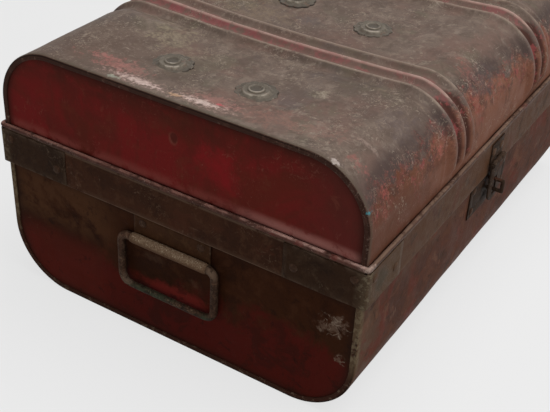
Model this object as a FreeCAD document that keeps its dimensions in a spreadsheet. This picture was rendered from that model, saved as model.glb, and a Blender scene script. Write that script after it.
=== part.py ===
import FreeCAD, Part
import os
import re

# A travelling suitcase of painted sheet steel with a ribbed, rounded lid.
# X runs along the case (left end at -X), the front with its hasp faces -Y, +Z is up.
# The origin lies in the middle of the flat bottom that the case stands on.  Millimetres.

SIZES = {
    # overall, measured over the skirt of the lid
    "case_length": 550.0,
    "case_depth": 400.0,
    "body_height": 171.0,
    "body_radius": 64.0,
    "lid_rise": 92.0,
    "lid_radius": 61.5,
    "sheet": 0.8,
    # the skirt of the lid, which overlaps the walls of the body
    "skirt_thickness": 1.2,
    "skirt_clearance": 2.4,
    "skirt_drop": 36.8,
    "rim_gap": 0.3,
    "bead_radius": 2.6,
    "rim_wire_radius": 2.5,
    # folded seams that hold the flat ends in the wraps
    "seam_width": 5.5,
    "seam_proud": 1.2,
    # pressed ribs over the lid
    "rib_group_offset": 97.0,
    "rib_pitch": 19.5,
    "rib_width": 16.0,
    "rib_height": 5.0,
    "rib_crest": 5.0,
    # corner straps on the skirt
    "strap_thickness": 0.8,
    "strap_end_leg": 80.0,
    "strap_long_leg": 62.0,
    "strap_margin": 0.8,
    "strap_near_rivet": 11.5,
    "strap_near_rivet_height": 28.0,
    "strap_far_rivet": 11.0,
    "strap_far_rivet_height": 15.0,
    # rivets
    "rivet_radius": 2.0,
    "rivet_head": 4.2,
    "rivet_crown": 1.4,
    "rivet_crown_radius": 1.9,
    "rivet_clench_radius": 3.4,
    "clench": 1.5,
    # scalloped washers on the top
    "rosette_radius": 20.0,
    "rosette_lobe": 4.6,
    "rosette_sheet": 0.9,
    "rosette_dome": 13.5,
    "rosette_dome_top": 10.5,
    "rosette_dome_height": 2.0,
    "rosette_dish": 8.6,
    "rosette_dish_depth": 1.2,
    "rosette_inset": 71.0,
    "rosette_spread": 45.0,
    "rosette_row_shift": 2.3,
    "rosette_middle_shift": 8.5,
    "rosette_middle_skew": 8.5,
    "rosette_middle_front": 59.0,
    "rosette_middle_back": 39.0,
    "stud_radius": 5.4,
    "stud_rim": 7.6,
    "stud_rim_height": 1.6,
    "stud_dimple": 4.6,
    "stud_dimple_floor": 3.7,
    "stud_dimple_depth": 2.2,
    "backing_radius": 12.0,
    "backing_sheet": 1.0,
    # carrying handles on the ends
    "handle_plate_width": 86.0,
    "handle_plate_sheet": 1.2,
    "handle_plate_gap": 1.0,
    "handle_plate_skew": 1.0,
    "handle_axis_drop": 25.3,
    "handle_bar_radius": 3.9,
    "handle_bar_clearance": 0.1,
    "handle_ring_width": 114.0,
    "handle_ring_drop": 56.3,
    "handle_ring_skew": 1.5,
    "handle_ring_shoulder": 8.0,
    "handle_ring_corner": 12.0,
    "handle_rivet_inset": 10.5,
    "handle_rivet_drop": 7.5,
    # hinges on the back
    "hinge_inset": 125.0,
    "hinge_width": 54.0,
    "hinge_knuckle": 3.2,
    "hinge_pin": 1.6,
    "hinge_pin_clearance": 0.05,
    "hinge_leaf": 1.2,
    "hinge_stand": 3.7,
    "hinge_rise": 2.0,
    "hinge_lid_leaf_height": 27.0,
    "hinge_body_leaf_drop": 42.0,
    "hinge_web_drop": 9.5,
    "hinge_rivet_spread": 17.0,
    "hinge_rivet_edge": 9.0,
    "knuckle_gap": 0.4,
    "pin_head_inset": 0.6,
    "pin_clench_inset": 1.0,
    # hasp and staple on the front
    "hasp_width": 30.0,
    "hasp_leaf": 1.2,
    "hasp_leaf_top": 3.5,
    "hasp_axis_rise": 11.5,
    "hasp_stand": 3.5,
    "hasp_knuckle": 3.0,
    "hasp_pin": 1.5,
    "hasp_strap": 1.8,
    "hasp_reach": 46.0,
    "hasp_slot_start": 18.5,
    "hasp_slot_end": 39.5,
    "hasp_slot_width": 8.0,
    "hasp_rivet_spread": 9.5,
    "lock_plate_width": 91.0,
    "lock_plate_height": 38.5,
    "lock_plate_sheet": 1.2,
    "lock_rivet_inset": 7.0,
    "staple_drop": 28.0,
    "staple_half_span": 6.0,
    "staple_wire": 2.0,
    "staple_reach": 15.0,
}

ROSETTE_LOBES = 12

doc = FreeCAD.newDocument("MetalSuitcase")
table = doc.addObject("Spreadsheet::Sheet", "Sizes")
for row, (alias, value) in enumerate(SIZES.items(), start=1):
    table.set(f"A{row}", alias)
    table.set(f"B{row}", str(value))
    table.setAlias(f"B{row}", alias)
doc.recompute()

# Levels and faces that several pieces share, as expressions of the sizes
WALL = "(skirt_thickness + skirt_clearance)"
END = "(case_length / 2)"
FRONT = "(case_depth / 2)"
END_WALL = f"({END} - {WALL})"
FRONT_WALL = f"({FRONT} - {WALL})"
SEAM_FACE = f"({END_WALL} + seam_proud)"
SKIRT_BOTTOM = "(body_height + rim_gap - skirt_drop)"
LID_BASE = "(body_height + rim_gap + skirt_thickness)"
BEAD_TOP = f"({LID_BASE} + 2 * bead_radius)"
LID_TOP = f"({LID_BASE} + lid_rise)"

SIZE_NAME = re.compile(r"\b[a-z][a-z_]*\b")
SAMPLE_BOX = Part.makeBox(1, 2, 3)
NEARLY_NOTHING = 1e-3
AXES = "xyz"
TURNS = {
    "+X": FreeCAD.Rotation(FreeCAD.Vector(0, 1, 0), 90),
    "-X": FreeCAD.Rotation(FreeCAD.Vector(0, 1, 0), -90),
    "+Y": FreeCAD.Rotation(FreeCAD.Vector(1, 0, 0), -90),
    "-Y": FreeCAD.Rotation(FreeCAD.Vector(1, 0, 0), 90),
    "+Z": FreeCAD.Rotation(),
    "-Z": FreeCAD.Rotation(FreeCAD.Vector(1, 0, 0), 180),
}

subparts = []


def cells(text):
    """The expression with every size name turned into its cell."""
    def cell(match):
        word = match.group()
        return f"Sizes.{word}" if word in SIZES else word
    return SIZE_NAME.sub(cell, text)


def bind(feature, **values):
    for name, text in values.items():
        feature.setExpression(name, cells(str(text)))
    return feature


def place(feature, point, turn="+Z"):
    feature.Placement = FreeCAD.Placement(FreeCAD.Vector(), TURNS[turn])
    for axis, text in zip(AXES, point):
        feature.setExpression(f"Placement.Base.{axis}", cells(str(text)))
    return feature


def keep(feature, label):
    """Mark a feature as a finished piece of the case."""
    feature.Label = label
    subparts.append(feature)
    return feature


def block(name, x_span, y_span, z_span):
    """A plain block between two limits on each axis."""
    solid = doc.addObject("Part::Box", name)
    sides = zip(("Length", "Width", "Height"), (x_span, y_span, z_span))
    bind(solid, **{side: f"({high}) - ({low})" for side, (low, high) in sides})
    return place(solid, (x_span[0], y_span[0], z_span[0]))


def rod(name, radius, point, direction, length):
    """A round bar that starts at a point and runs along a direction."""
    bar = doc.addObject("Part::Cylinder", name)
    bind(bar, Radius=radius, Height=length)
    return place(bar, point, direction)


def cone(name, base_radius, tip_radius, point, direction, length):
    solid = doc.addObject("Part::Cone", name)
    bind(solid, Radius1=base_radius, Radius2=tip_radius, Height=length)
    return place(solid, point, direction)


def ball(name, radius, point):
    return place(bind(doc.addObject("Part::Sphere", name), Radius=radius), point)


def fuse(name, shapes):
    whole = doc.addObject("Part::MultiFuse", name)
    whole.Shapes = shapes
    return whole


def group(name, shapes):
    """Separate solids kept together, such as like rivets."""
    whole = doc.addObject("Part::Compound", name)
    whole.Links = shapes
    return whole


def cut(name, base, tools):
    """A base with one or more tools taken out of it."""
    whole = doc.addObject("Part::Cut", name)
    whole.Base = base
    whole.Tool = tools[0] if len(tools) == 1 else group(f"{name}_tools", tools)
    return whole


def lengthwise_edges(at_top):
    """Names of a box's edges along X, at its top or its bottom.  Every box numbers them alike."""
    names = []
    for number, edge in enumerate(SAMPLE_BOX.Edges, start=1):
        extent = edge.BoundBox
        along_x = extent.YLength + extent.ZLength < NEARLY_NOTHING
        if along_x and (extent.ZMax > SAMPLE_BOX.BoundBox.Center.z) == at_top:
            names.append(f"Edge{number}")
    return names


def rounded_block(name, x_span, y_half, z_span, radius, at_top=True, crest=None):
    """A block whose two long edges along X are rounded, at the top or at the bottom.

    With a crest radius the rims of its two end faces are rounded as well, which gives a rib.
    """
    body = doc.addObject("PartDesign::Body", name)
    box = body.newObject("PartDesign::AdditiveBox", f"{name}_block")
    spans = (x_span, (f"-({y_half})", y_half), z_span)
    sides = zip(("Length", "Width", "Height"), spans)
    bind(box, **{side: f"({high}) - ({low})" for side, (low, high) in sides})
    place(box, [low for low, high in spans])
    shoulders = body.newObject("PartDesign::Fillet", f"{name}_shoulders")
    shoulders.Base = (box, lengthwise_edges(at_top))
    bind(shoulders, Radius=radius)
    body.Tip = shoulders
    if crest:
        doc.recompute()
        foot = shoulders.Shape.BoundBox.ZMin + NEARLY_NOTHING
        rim_names = []
        for number, edge in enumerate(shoulders.Shape.Edges, start=1):
            if edge.BoundBox.XLength < NEARLY_NOTHING and edge.BoundBox.ZMax > foot:
                rim_names.append(f"Edge{number}")
        rims = body.newObject("PartDesign::Fillet", f"{name}_crest")
        rims.Base = (shoulders, rim_names)
        bind(rims, Radius=crest)
        body.Tip = rims
    return body


def wire_frame(name, x_half, y_half, level, radius):
    """A flat rectangle of round wire about the Z axis, with ball-shaped corners."""
    pieces = []
    for side, sign in (("near", "-"), ("far", "+")):
        x_bar = (f"-({x_half})", f"{sign}({y_half})", level)
        y_bar = (f"{sign}({x_half})", f"-({y_half})", level)
        pieces.append(rod(f"{name}_{side}_x", radius, x_bar, "+X", f"2 * ({x_half})"))
        pieces.append(rod(f"{name}_{side}_y", radius, y_bar, "+Y", f"2 * ({y_half})"))
        for end in "-+":
            corner = (f"{end}({x_half})", f"{sign}({y_half})", level)
            pieces.append(ball(f"{name}_{side}_corner", radius, corner))
    return fuse(name, pieces)


def step_along(point, direction, distance):
    """The point moved by a distance along a direction such as "-Y"."""
    moved = list(point)
    axis = AXES.index(direction[1].lower())
    moved[axis] = f"({moved[axis]}) {direction[0]} ({distance})"
    return moved


def rivet(name, face_point, outward, grip, inner_head=False):
    """A rivet whose head sits on a face point, and the shank alone, which drills what it holds."""
    inner_end = step_along(face_point, outward, f"-({grip})")
    shank = rod(f"{name}_shank", "rivet_radius", inner_end, outward, grip)
    head = cone(f"{name}_head", "rivet_head", "rivet_crown_radius", face_point, outward, "rivet_crown")
    pieces = [shank, head]
    if inner_head:
        inward = ("-" if outward[0] == "+" else "+") + outward[1]
        pieces.append(rod(f"{name}_inner", "rivet_clench_radius", inner_end, inward, "clench"))
    return fuse(name, pieces), shank


def mirrored(sign, *spans):
    """A span along X or Y, taken to the other side when the sign is minus."""
    flipped = [(f"-({high})", f"-({low})") if sign == "-" else (low, high) for low, high in spans]
    return flipped[0] if len(flipped) == 1 else flipped


def pin(name, radius, knuckle, span, y_place, z_place):
    """A hinge pin along X with a head at one end of its knuckles and a clenched end at the other."""
    reach = f"({span[1]}) - ({span[0]}) + 2 * clench"
    return fuse(name, [
        rod(f"{name}_rod", radius, (f"{span[0]} - clench", y_place, z_place), "+X", reach),
        rod(f"{name}_head", f"{knuckle} - pin_head_inset", (span[1], y_place, z_place), "+X", "clench"),
        rod(f"{name}_clench", f"{knuckle} - pin_clench_inset", (span[0], y_place, z_place), "-X", "clench"),
    ])


# Rivets are made first, because what they hold is drilled by their shanks.
# Corner straps: two rivets in each leg, at unlike heights, flush inside the skirt
SIDES = {"left": "-", "right": "+"}
FACES = {"front": "-", "back": "+"}
STRAP_GRIP = "strap_thickness + skirt_thickness"
UPPER_RIVET = f"({SKIRT_BOTTOM} + strap_near_rivet_height)"
LOWER_RIVET = f"({SKIRT_BOTTOM} + strap_far_rivet_height)"
strap_rivets = []
strap_shanks = {wall: [] for wall in (*SIDES, *FACES)}
for side, x_sign in SIDES.items():
    for face, y_sign in FACES.items():
        legs = (
            (side, "strap_end_leg", x_sign + "X"),
            (face, "strap_long_leg", y_sign + "Y"),
        )
        for wall, leg, outward in legs:
            spots = (("strap_near_rivet", UPPER_RIVET), (f"({leg} - strap_far_rivet)", LOWER_RIVET))
            for number, (distance, height) in enumerate(spots):
                x_place = f"{x_sign}({END} - {distance})"
                y_place = f"{y_sign}({FRONT} - {distance})"
                if outward.endswith("X"):
                    x_place = f"{x_sign}({END} + strap_thickness)"
                else:
                    y_place = f"{y_sign}({FRONT} + strap_thickness)"
                name = f"strap_rivet_{side}_{face}_{wall}_{number}"
                whole, shank = rivet(name, (x_place, y_place, height), outward, STRAP_GRIP)
                strap_rivets.append(whole)
                strap_shanks[wall].append((f"{side}_{face}", shank))
keep(group("StrapRivets", strap_rivets), "corner_strap_rivets")

# Handles: a riveted plate whose lower edge is rolled round the top bar of a wire ring
KNUCKLE_RADIUS = "(handle_bar_radius + handle_bar_clearance + handle_plate_sheet)"
HANDLE_AXIS = f"({END_WALL} + {KNUCKLE_RADIUS})"
PLATE_FACE = f"({END_WALL} + handle_plate_sheet)"
HANDLE_Z = f"({SKIRT_BOTTOM} - handle_axis_drop)"
PLATE_TOP = f"({SKIRT_BOTTOM} - handle_plate_gap)"
PLATE_SPAN = ("(-handle_plate_skew - handle_plate_width / 2)",
              "(-handle_plate_skew + handle_plate_width / 2)")
handle_shanks = {}
for side, sign in SIDES.items():
    outward = sign + "X"
    pieces = []
    handle_shanks[side] = []
    spots = (f"{PLATE_SPAN[0]} + handle_rivet_inset", f"{PLATE_SPAN[1]} - handle_rivet_inset")
    for number, y_place in enumerate(spots):
        point = (f"{sign}{PLATE_FACE}", y_place, f"{PLATE_TOP} - handle_rivet_drop")
        whole, shank = rivet(f"handle_rivet_{side}_{number}", point, outward,
                             "handle_plate_sheet + sheet", inner_head=True)
        pieces.append(whole)
        handle_shanks[side].append(shank)
    keep(group(f"HandleRivets_{side}", pieces), f"handle_rivets_{side}")

    plate_sheet = block(f"handle_sheet_{side}", mirrored(sign, (END_WALL, PLATE_FACE)), PLATE_SPAN,
                        (HANDLE_Z, PLATE_TOP))
    axis_start = (f"{sign}{HANDLE_AXIS}", PLATE_SPAN[0], HANDLE_Z)
    roll = rod(f"handle_roll_{side}", KNUCKLE_RADIUS, axis_start, "+Y", "handle_plate_width")
    bore = rod(f"handle_bore_{side}", "handle_bar_radius + handle_bar_clearance", axis_start, "+Y",
               "handle_plate_width")
    plate = cut(f"HandlePlate_{side}", fuse(f"handle_blank_{side}", [plate_sheet, roll]),
                [bore, group(f"handle_drills_{side}", handle_shanks[side])])
    keep(plate, f"handle_plate_{side}")

    # the ring: straight bars between four quarter bends, standing in the plane of the end
    bar_half = "(handle_ring_width / 2 - handle_bar_radius)"
    ring_x = f"{sign}{HANDLE_AXIS}"
    ring_bottom = f"({HANDLE_Z} - handle_ring_drop)"
    bars = []
    for level, bend in ((HANDLE_Z, "handle_ring_shoulder"), (ring_bottom, "handle_ring_corner")):
        bars.append(rod(f"ring_bar_{side}", "handle_bar_radius",
                        (ring_x, f"handle_ring_skew - ({bar_half} - {bend})", level), "+Y",
                        f"2 * ({bar_half} - {bend})"))
    for y_sign in "-+":
        bars.append(rod(f"ring_side_{side}", "handle_bar_radius",
                        (ring_x, f"handle_ring_skew {y_sign} {bar_half}",
                         f"{ring_bottom} + handle_ring_corner"), "+Z",
                        "handle_ring_drop - handle_ring_corner - handle_ring_shoulder"))
    # the angle that each quarter bend starts at, its side, its radius and the level of its centre
    quarters = (
        (0, "+", "handle_ring_shoulder", f"{HANDLE_Z} - handle_ring_shoulder"),
        (90, "-", "handle_ring_shoulder", f"{HANDLE_Z} - handle_ring_shoulder"),
        (180, "-", "handle_ring_corner", f"{ring_bottom} + handle_ring_corner"),
        (270, "+", "handle_ring_corner", f"{ring_bottom} + handle_ring_corner"),
    )
    stand_up = FreeCAD.Rotation(FreeCAD.Vector(1, 1, 1), 120)
    for start, y_sign, bend, level in quarters:
        elbow = doc.addObject("Part::Torus", f"ring_bend_{side}")
        bind(elbow, Radius1=bend, Radius2="handle_bar_radius", Angle3=90)
        place(elbow, (ring_x, f"handle_ring_skew {y_sign} ({bar_half} - {bend})", level))
        elbow.Placement.Rotation = stand_up * FreeCAD.Rotation(FreeCAD.Vector(0, 0, 1), start)
        bars.append(elbow)
    keep(fuse(f"HandleRing_{side}", bars), f"handle_ring_{side}")

# Hinges: the lid's leaf carries the middle knuckle, the body's leaf the outer two and the pin
HINGE_Y = f"({FRONT} + hinge_stand)"
HINGE_Z = f"({SKIRT_BOTTOM} + hinge_rise)"
THIRD = "((hinge_width - 2 * knuckle_gap) / 3)"
LEAF_CLEAR = f"({HINGE_Z} + hinge_knuckle + knuckle_gap)"
WEB = (f"({HINGE_Z} - hinge_web_drop)", f"({HINGE_Z} - hinge_web_drop + hinge_leaf)")
hinge_lid_rivets = []
hinge_body_rivets = []
hinge_lid_shanks = []
hinge_body_shanks = []
for side, sign in SIDES.items():
    middle = f"({sign}({END} - hinge_inset))"
    full = (f"{middle} - hinge_width / 2", f"{middle} + hinge_width / 2")
    inner = (f"{middle} - {THIRD} / 2", f"{middle} + {THIRD} / 2")
    outer_spans = ((full[0], f"{middle} - hinge_width / 2 + {THIRD}"),
                   (f"{middle} + hinge_width / 2 - {THIRD}", full[1]))
    bore = rod(f"hinge_bore_{side}", "hinge_pin + hinge_pin_clearance",
               (full[0], HINGE_Y, HINGE_Z), "+X", "hinge_width")
    lid_face = (FRONT, f"{FRONT} + hinge_leaf")
    lid_rivets_here = []
    body_rivets_here = []
    for number, spread in enumerate("-+"):
        x_place = f"{middle} {spread} hinge_rivet_spread"
        whole, shank = rivet(
            f"hinge_lid_rivet_{side}_{number}",
            (x_place, f"{FRONT} + hinge_leaf", f"{HINGE_Z} + hinge_lid_leaf_height - hinge_rivet_edge"),
            "+Y", "hinge_leaf + skirt_thickness")
        hinge_lid_rivets.append(whole)
        lid_rivets_here.append(shank)
        whole, shank = rivet(
            f"hinge_body_rivet_{side}_{number}",
            (x_place, f"{FRONT_WALL} + hinge_leaf", f"{HINGE_Z} - hinge_body_leaf_drop + hinge_rivet_edge"),
            "+Y", "hinge_leaf + sheet", inner_head=True)
        hinge_body_rivets.append(whole)
        body_rivets_here.append(shank)
    hinge_lid_shanks += lid_rivets_here
    hinge_body_shanks += body_rivets_here

    lid_leaf = fuse(f"hinge_lid_blank_{side}", [
        block(f"hinge_lid_sheet_{side}", full, lid_face,
              (LEAF_CLEAR, f"{HINGE_Z} + hinge_lid_leaf_height")),
        block(f"hinge_lid_tongue_{side}", inner, lid_face, (HINGE_Z, LEAF_CLEAR)),
        rod(f"hinge_lid_roll_{side}", "hinge_knuckle", (inner[0], HINGE_Y, HINGE_Z), "+X", THIRD),
    ])
    keep(cut(f"HingeLidLeaf_{side}", lid_leaf, [bore, *lid_rivets_here]), f"hinge_lid_leaf_{side}")

    leaf_parts = [
        block(f"hinge_body_sheet_{side}", full, (FRONT_WALL, f"{FRONT_WALL} + hinge_leaf"),
              (f"{HINGE_Z} - hinge_body_leaf_drop", WEB[1])),
        block(f"hinge_body_web_{side}", full, (FRONT_WALL, f"{HINGE_Y} + hinge_leaf / 2"), WEB),
    ]
    for number, span in enumerate(outer_spans):
        riser_faces = (f"{HINGE_Y} - hinge_leaf / 2", f"{HINGE_Y} + hinge_leaf / 2")
        leaf_parts.append(block(f"hinge_riser_{side}_{number}", span, riser_faces, (WEB[0], HINGE_Z)))
        leaf_parts.append(rod(f"hinge_body_roll_{side}_{number}", "hinge_knuckle",
                              (span[0], HINGE_Y, HINGE_Z), "+X", THIRD))
    keep(cut(f"HingeBodyLeaf_{side}", fuse(f"hinge_body_blank_{side}", leaf_parts),
             [bore, *body_rivets_here]), f"hinge_body_leaf_{side}")
    keep(pin(f"HingePin_{side}", "hinge_pin", "hinge_knuckle", full, HINGE_Y, HINGE_Z), f"hinge_pin_{side}")
keep(group("HingeLidRivets", hinge_lid_rivets), "hinge_lid_rivets")
keep(group("HingeBodyRivets", hinge_body_rivets), "hinge_body_rivets")

# Hasp: a leaf on the skirt, a slotted strap that drops over the staple, and their pin
HASP_Y = f"(-{FRONT} - hasp_stand)"
HASP_Z = f"({SKIRT_BOTTOM} + hasp_axis_rise)"
HASP_THIRD = "((hasp_width - 2 * knuckle_gap) / 3)"
HASP_CLEAR = "(hasp_knuckle + knuckle_gap)"
HASP_FULL = ("-hasp_width / 2", "hasp_width / 2")
HASP_INNER = (f"-{HASP_THIRD} / 2", f"{HASP_THIRD} / 2")
HASP_TOP = f"({LID_BASE} - hasp_leaf_top)"
HASP_RIVET_Z = f"({HASP_Z} + {HASP_CLEAR} + {HASP_TOP}) / 2"
hasp_rivets = []
hasp_shanks = []
for number, spread in enumerate("-+"):
    point = (f"{spread}hasp_rivet_spread", f"-({FRONT} + hasp_leaf)", HASP_RIVET_Z)
    whole, shank = rivet(f"hasp_rivet_{number}", point, "-Y", "hasp_leaf + skirt_thickness")
    hasp_rivets.append(whole)
    hasp_shanks.append(shank)
keep(group("HaspRivets", hasp_rivets), "hasp_rivets")

hasp_face = (f"-({FRONT} + hasp_leaf)", f"-{FRONT}")
leaf_foot = f"{HASP_Z} + {HASP_CLEAR}"
leaf_parts = [block("hasp_leaf_sheet", HASP_FULL, hasp_face, (leaf_foot, HASP_TOP))]
for number, start in enumerate((HASP_FULL[0], f"hasp_width / 2 - {HASP_THIRD}")):
    span = (start, f"{start} + {HASP_THIRD}")
    leaf_parts.append(block(f"hasp_tongue_{number}", span, hasp_face, (HASP_Z, leaf_foot)))
    leaf_parts.append(rod(f"hasp_roll_{number}", "hasp_knuckle", (start, HASP_Y, HASP_Z), "+X", HASP_THIRD))
hasp_bore = rod("hasp_bore", "hasp_pin + hinge_pin_clearance",
                (HASP_FULL[0], HASP_Y, HASP_Z), "+X", "hasp_width")
keep(cut("HaspLeaf", fuse("hasp_leaf_blank", leaf_parts), [hasp_bore, *hasp_shanks]), "hasp_leaf")

strap_face = (f"{HASP_Y} - hasp_strap / 2", f"{HASP_Y} + hasp_strap / 2")
nose = "(hasp_reach - hasp_width / 2)"
strap = fuse("hasp_strap_blank", [
    rod("hasp_strap_roll", "hasp_knuckle", (HASP_INNER[0], HASP_Y, HASP_Z), "+X", HASP_THIRD),
    block("hasp_strap_tongue", HASP_INNER, strap_face, (f"{HASP_Z} - {HASP_CLEAR}", HASP_Z)),
    block("hasp_strap_sheet", HASP_FULL, strap_face, (f"{HASP_Z} - {nose}", f"{HASP_Z} - {HASP_CLEAR}")),
    rod("hasp_strap_nose", "hasp_width / 2", ("0", strap_face[0], f"{HASP_Z} - {nose}"), "+Y", "hasp_strap"),
])
slot = block("hasp_slot", ("-hasp_slot_width / 2", "hasp_slot_width / 2"),
             (f"{HASP_Y} - hasp_strap", f"{HASP_Y} + hasp_strap"),
             (f"{HASP_Z} - hasp_slot_end", f"{HASP_Z} - hasp_slot_start"))
keep(cut("HaspStrap", strap, [slot, hasp_bore]), "hasp_strap")
keep(pin("HaspPin", "hasp_pin", "hasp_knuckle", HASP_FULL, HASP_Y, HASP_Z), "hasp_pin")

# Lock plate below the skirt, with the staple that takes a padlock through its eye
LOCK_FACE = f"({FRONT_WALL} + lock_plate_sheet)"
LOCK_FOOT = f"({PLATE_TOP} - lock_plate_height)"
lock_rivets = []
lock_shanks = []
for x_sign in "-+":
    for height in (f"{LOCK_FOOT} + lock_rivet_inset", f"{PLATE_TOP} - lock_rivet_inset"):
        point = (f"{x_sign}(lock_plate_width / 2 - lock_rivet_inset)", f"-{LOCK_FACE}", height)
        whole, shank = rivet("lock_rivet", point, "-Y", "lock_plate_sheet + sheet", inner_head=True)
        lock_rivets.append(whole)
        lock_shanks.append(shank)
keep(group("LockRivets", lock_rivets), "lock_plate_rivets")

STAPLE_TIP = f"(-{FRONT} - staple_reach + staple_wire)"
STAPLE_ROOT = f"(-{FRONT_WALL} + sheet + clench)"
STAPLE_Z = f"({HASP_Z} - staple_drop)"
staple_legs = []
staple_corners = []
for sign in "-+":
    height = f"{STAPLE_Z} {sign} staple_half_span"
    staple_legs.append(rod("staple_leg", "staple_wire", ("0", STAPLE_ROOT, height), "-Y",
                           f"{STAPLE_ROOT} - {STAPLE_TIP}"))
    staple_corners.append(ball("staple_corner", "staple_wire", ("0", STAPLE_TIP, height)))
staple_eye = rod("staple_eye", "staple_wire", ("0", STAPLE_TIP, f"{STAPLE_Z} - staple_half_span"), "+Z",
                 "2 * staple_half_span")
keep(fuse("Staple", [*staple_legs, *staple_corners, staple_eye]), "staple")
lock_sheet = block("lock_sheet", ("-lock_plate_width / 2", "lock_plate_width / 2"),
                   (f"-{LOCK_FACE}", f"-{FRONT_WALL}"), (LOCK_FOOT, PLATE_TOP))
keep(cut("LockPlate", lock_sheet, [*lock_shanks, *staple_legs]), "lock_plate")

# Body: one sheet wrapped front, bottom and back, with a folded rim on each end that holds a panel
BODY_LENGTHWISE = (f"-{END_WALL}", END_WALL)
SEAMED = (f"-{SEAM_FACE}", SEAM_FACE)
THROUGH = (f"-{END}", END)
body_wrap = cut("body_shell_blank", rounded_block(
    "body_outer", SEAMED, FRONT_WALL, ("0", "body_height"), "body_radius", at_top=False), [
    rounded_block("body_cavity", BODY_LENGTHWISE, f"{FRONT_WALL} - sheet",
                  ("sheet", "body_height + sheet"), "body_radius - sheet", at_top=False),
])
body_wrap = cut("body_shell_seamed", body_wrap, [
    rounded_block("body_through", THROUGH, f"{FRONT_WALL} - seam_width",
                  ("seam_width", "body_height + sheet"), "body_radius - seam_width", at_top=False),
])
keep(cut("BodyWrap", body_wrap, [*hinge_body_shanks, *lock_shanks, *staple_legs]), "body_wrap")

for side, sign in SIDES.items():
    panel = rounded_block(f"body_end_blank_{side}", mirrored(sign, (f"{END_WALL} - sheet", END_WALL)),
                          f"{FRONT_WALL} - sheet", ("sheet", "body_height"), "body_radius - sheet",
                          at_top=False)
    keep(cut(f"BodyEnd_{side}", panel, handle_shanks[side]), f"body_end_{side}")

RIM_INSET = "(sheet + rim_wire_radius)"
keep(wire_frame("BodyRimWire", f"{END_WALL} - {RIM_INSET}", f"{FRONT_WALL} - {RIM_INSET}",
                "body_height - rim_wire_radius", "rim_wire_radius"), "body_rim_wire")

# Lid: one sheet wrapped front, top and back, pressed into two groups of three hollow ribs
RIB_LEVEL = (BEAD_TOP, f"{LID_TOP} + rib_height")
RIB_HOLLOW = (f"{BEAD_TOP} + sheet", f"{LID_TOP} + rib_height - sheet")
ribs = []
hollows = []
for side, sign in SIDES.items():
    for number in (-1, 0, 1):
        centre = f"({sign}rib_group_offset + {number} * rib_pitch)"
        width = (f"{centre} - rib_width / 2", f"{centre} + rib_width / 2")
        hollow = (f"{width[0]} + sheet", f"{width[1]} - sheet")
        ribs.append(rounded_block(f"rib_{side}", width, f"{FRONT_WALL} + rib_height", RIB_LEVEL,
                                  "lid_radius + rib_height", crest="rib_crest"))
        hollows.append(rounded_block(f"rib_hollow_{side}", hollow, f"{FRONT_WALL} + rib_height - sheet",
                                     RIB_HOLLOW, "lid_radius + rib_height - sheet",
                                     crest="rib_crest - sheet"))
lid_outer = fuse("lid_outer_ribbed", [
    rounded_block("lid_outer", SEAMED, FRONT_WALL, (LID_BASE, LID_TOP), "lid_radius"), *ribs])
lid_cavity = fuse("lid_cavity_ribbed", [
    rounded_block("lid_cavity", BODY_LENGTHWISE, f"{FRONT_WALL} - sheet",
                  (f"{LID_BASE} - sheet", f"{LID_TOP} - sheet"), "lid_radius - sheet"), *hollows])
lid_wrap = cut("lid_wrap_hollow", lid_outer, [lid_cavity])
lid_wrap = cut("lid_wrap_open", lid_wrap, [
    rounded_block("lid_through", THROUGH, f"{FRONT_WALL} - seam_width",
                  (f"{LID_BASE} - sheet", f"{LID_TOP} - seam_width"), "lid_radius - seam_width")])
bead_notches = []
for side, sign in SIDES.items():
    bead_notches.append(block(f"bead_notch_{side}", mirrored(sign, (END_WALL, END)), (f"-{FRONT}", FRONT),
                              (f"{LID_BASE} - sheet", BEAD_TOP)))
lid_wrap = cut("lid_wrap_notched", lid_wrap, bead_notches)

for side, sign in SIDES.items():
    keep(rounded_block(f"LidEnd_{side}", mirrored(sign, (f"{END_WALL} - sheet", END_WALL)),
                       f"{FRONT_WALL} - sheet", (LID_BASE, f"{LID_TOP} - sheet"), "lid_radius - sheet"),
         f"lid_end_{side}")
keep(wire_frame("LidBead", f"{END_WALL} + bead_radius", f"{FRONT_WALL} + bead_radius",
                f"{LID_BASE} + bead_radius", "bead_radius"), "lid_bead")

# Skirt: four angle strips under the lid, their flanges turned in below its walls
SKIRT_LEVEL = (SKIRT_BOTTOM, LID_BASE)
FLANGE_LEVEL = ("body_height + rim_gap", LID_BASE)
FLANGE_EDGE_X = f"({END_WALL} - sheet)"
FLANGE_EDGE_Y = f"({FRONT_WALL} - sheet)"
wall_shanks = {"back": hinge_lid_shanks, "front": hasp_shanks}
for face, sign in FACES.items():
    strip = fuse(f"skirt_blank_{face}", [
        block(f"skirt_drop_{face}", THROUGH, mirrored(sign, (f"{FRONT} - skirt_thickness", FRONT)),
              SKIRT_LEVEL),
        block(f"skirt_flange_{face}", THROUGH, mirrored(sign, (FLANGE_EDGE_Y, FRONT)), FLANGE_LEVEL),
    ])
    drills = wall_shanks[face] + [shank for corner, shank in strap_shanks[face]]
    keep(cut(f"Skirt_{face}", strip, drills), f"skirt_{face}")
for side, sign in SIDES.items():
    between = f"({FRONT} - skirt_thickness)"
    strip = fuse(f"skirt_blank_{side}", [
        block(f"skirt_drop_{side}", mirrored(sign, (f"{END} - skirt_thickness", END)),
              (f"-{between}", between), (SKIRT_BOTTOM, "body_height + rim_gap")),
        block(f"skirt_flange_{side}", mirrored(sign, (FLANGE_EDGE_X, END)),
              (f"-{FLANGE_EDGE_Y}", FLANGE_EDGE_Y), FLANGE_LEVEL),
    ])
    keep(cut(f"Skirt_{side}", strip, [shank for corner, shank in strap_shanks[side]]), f"skirt_{side}")

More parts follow.
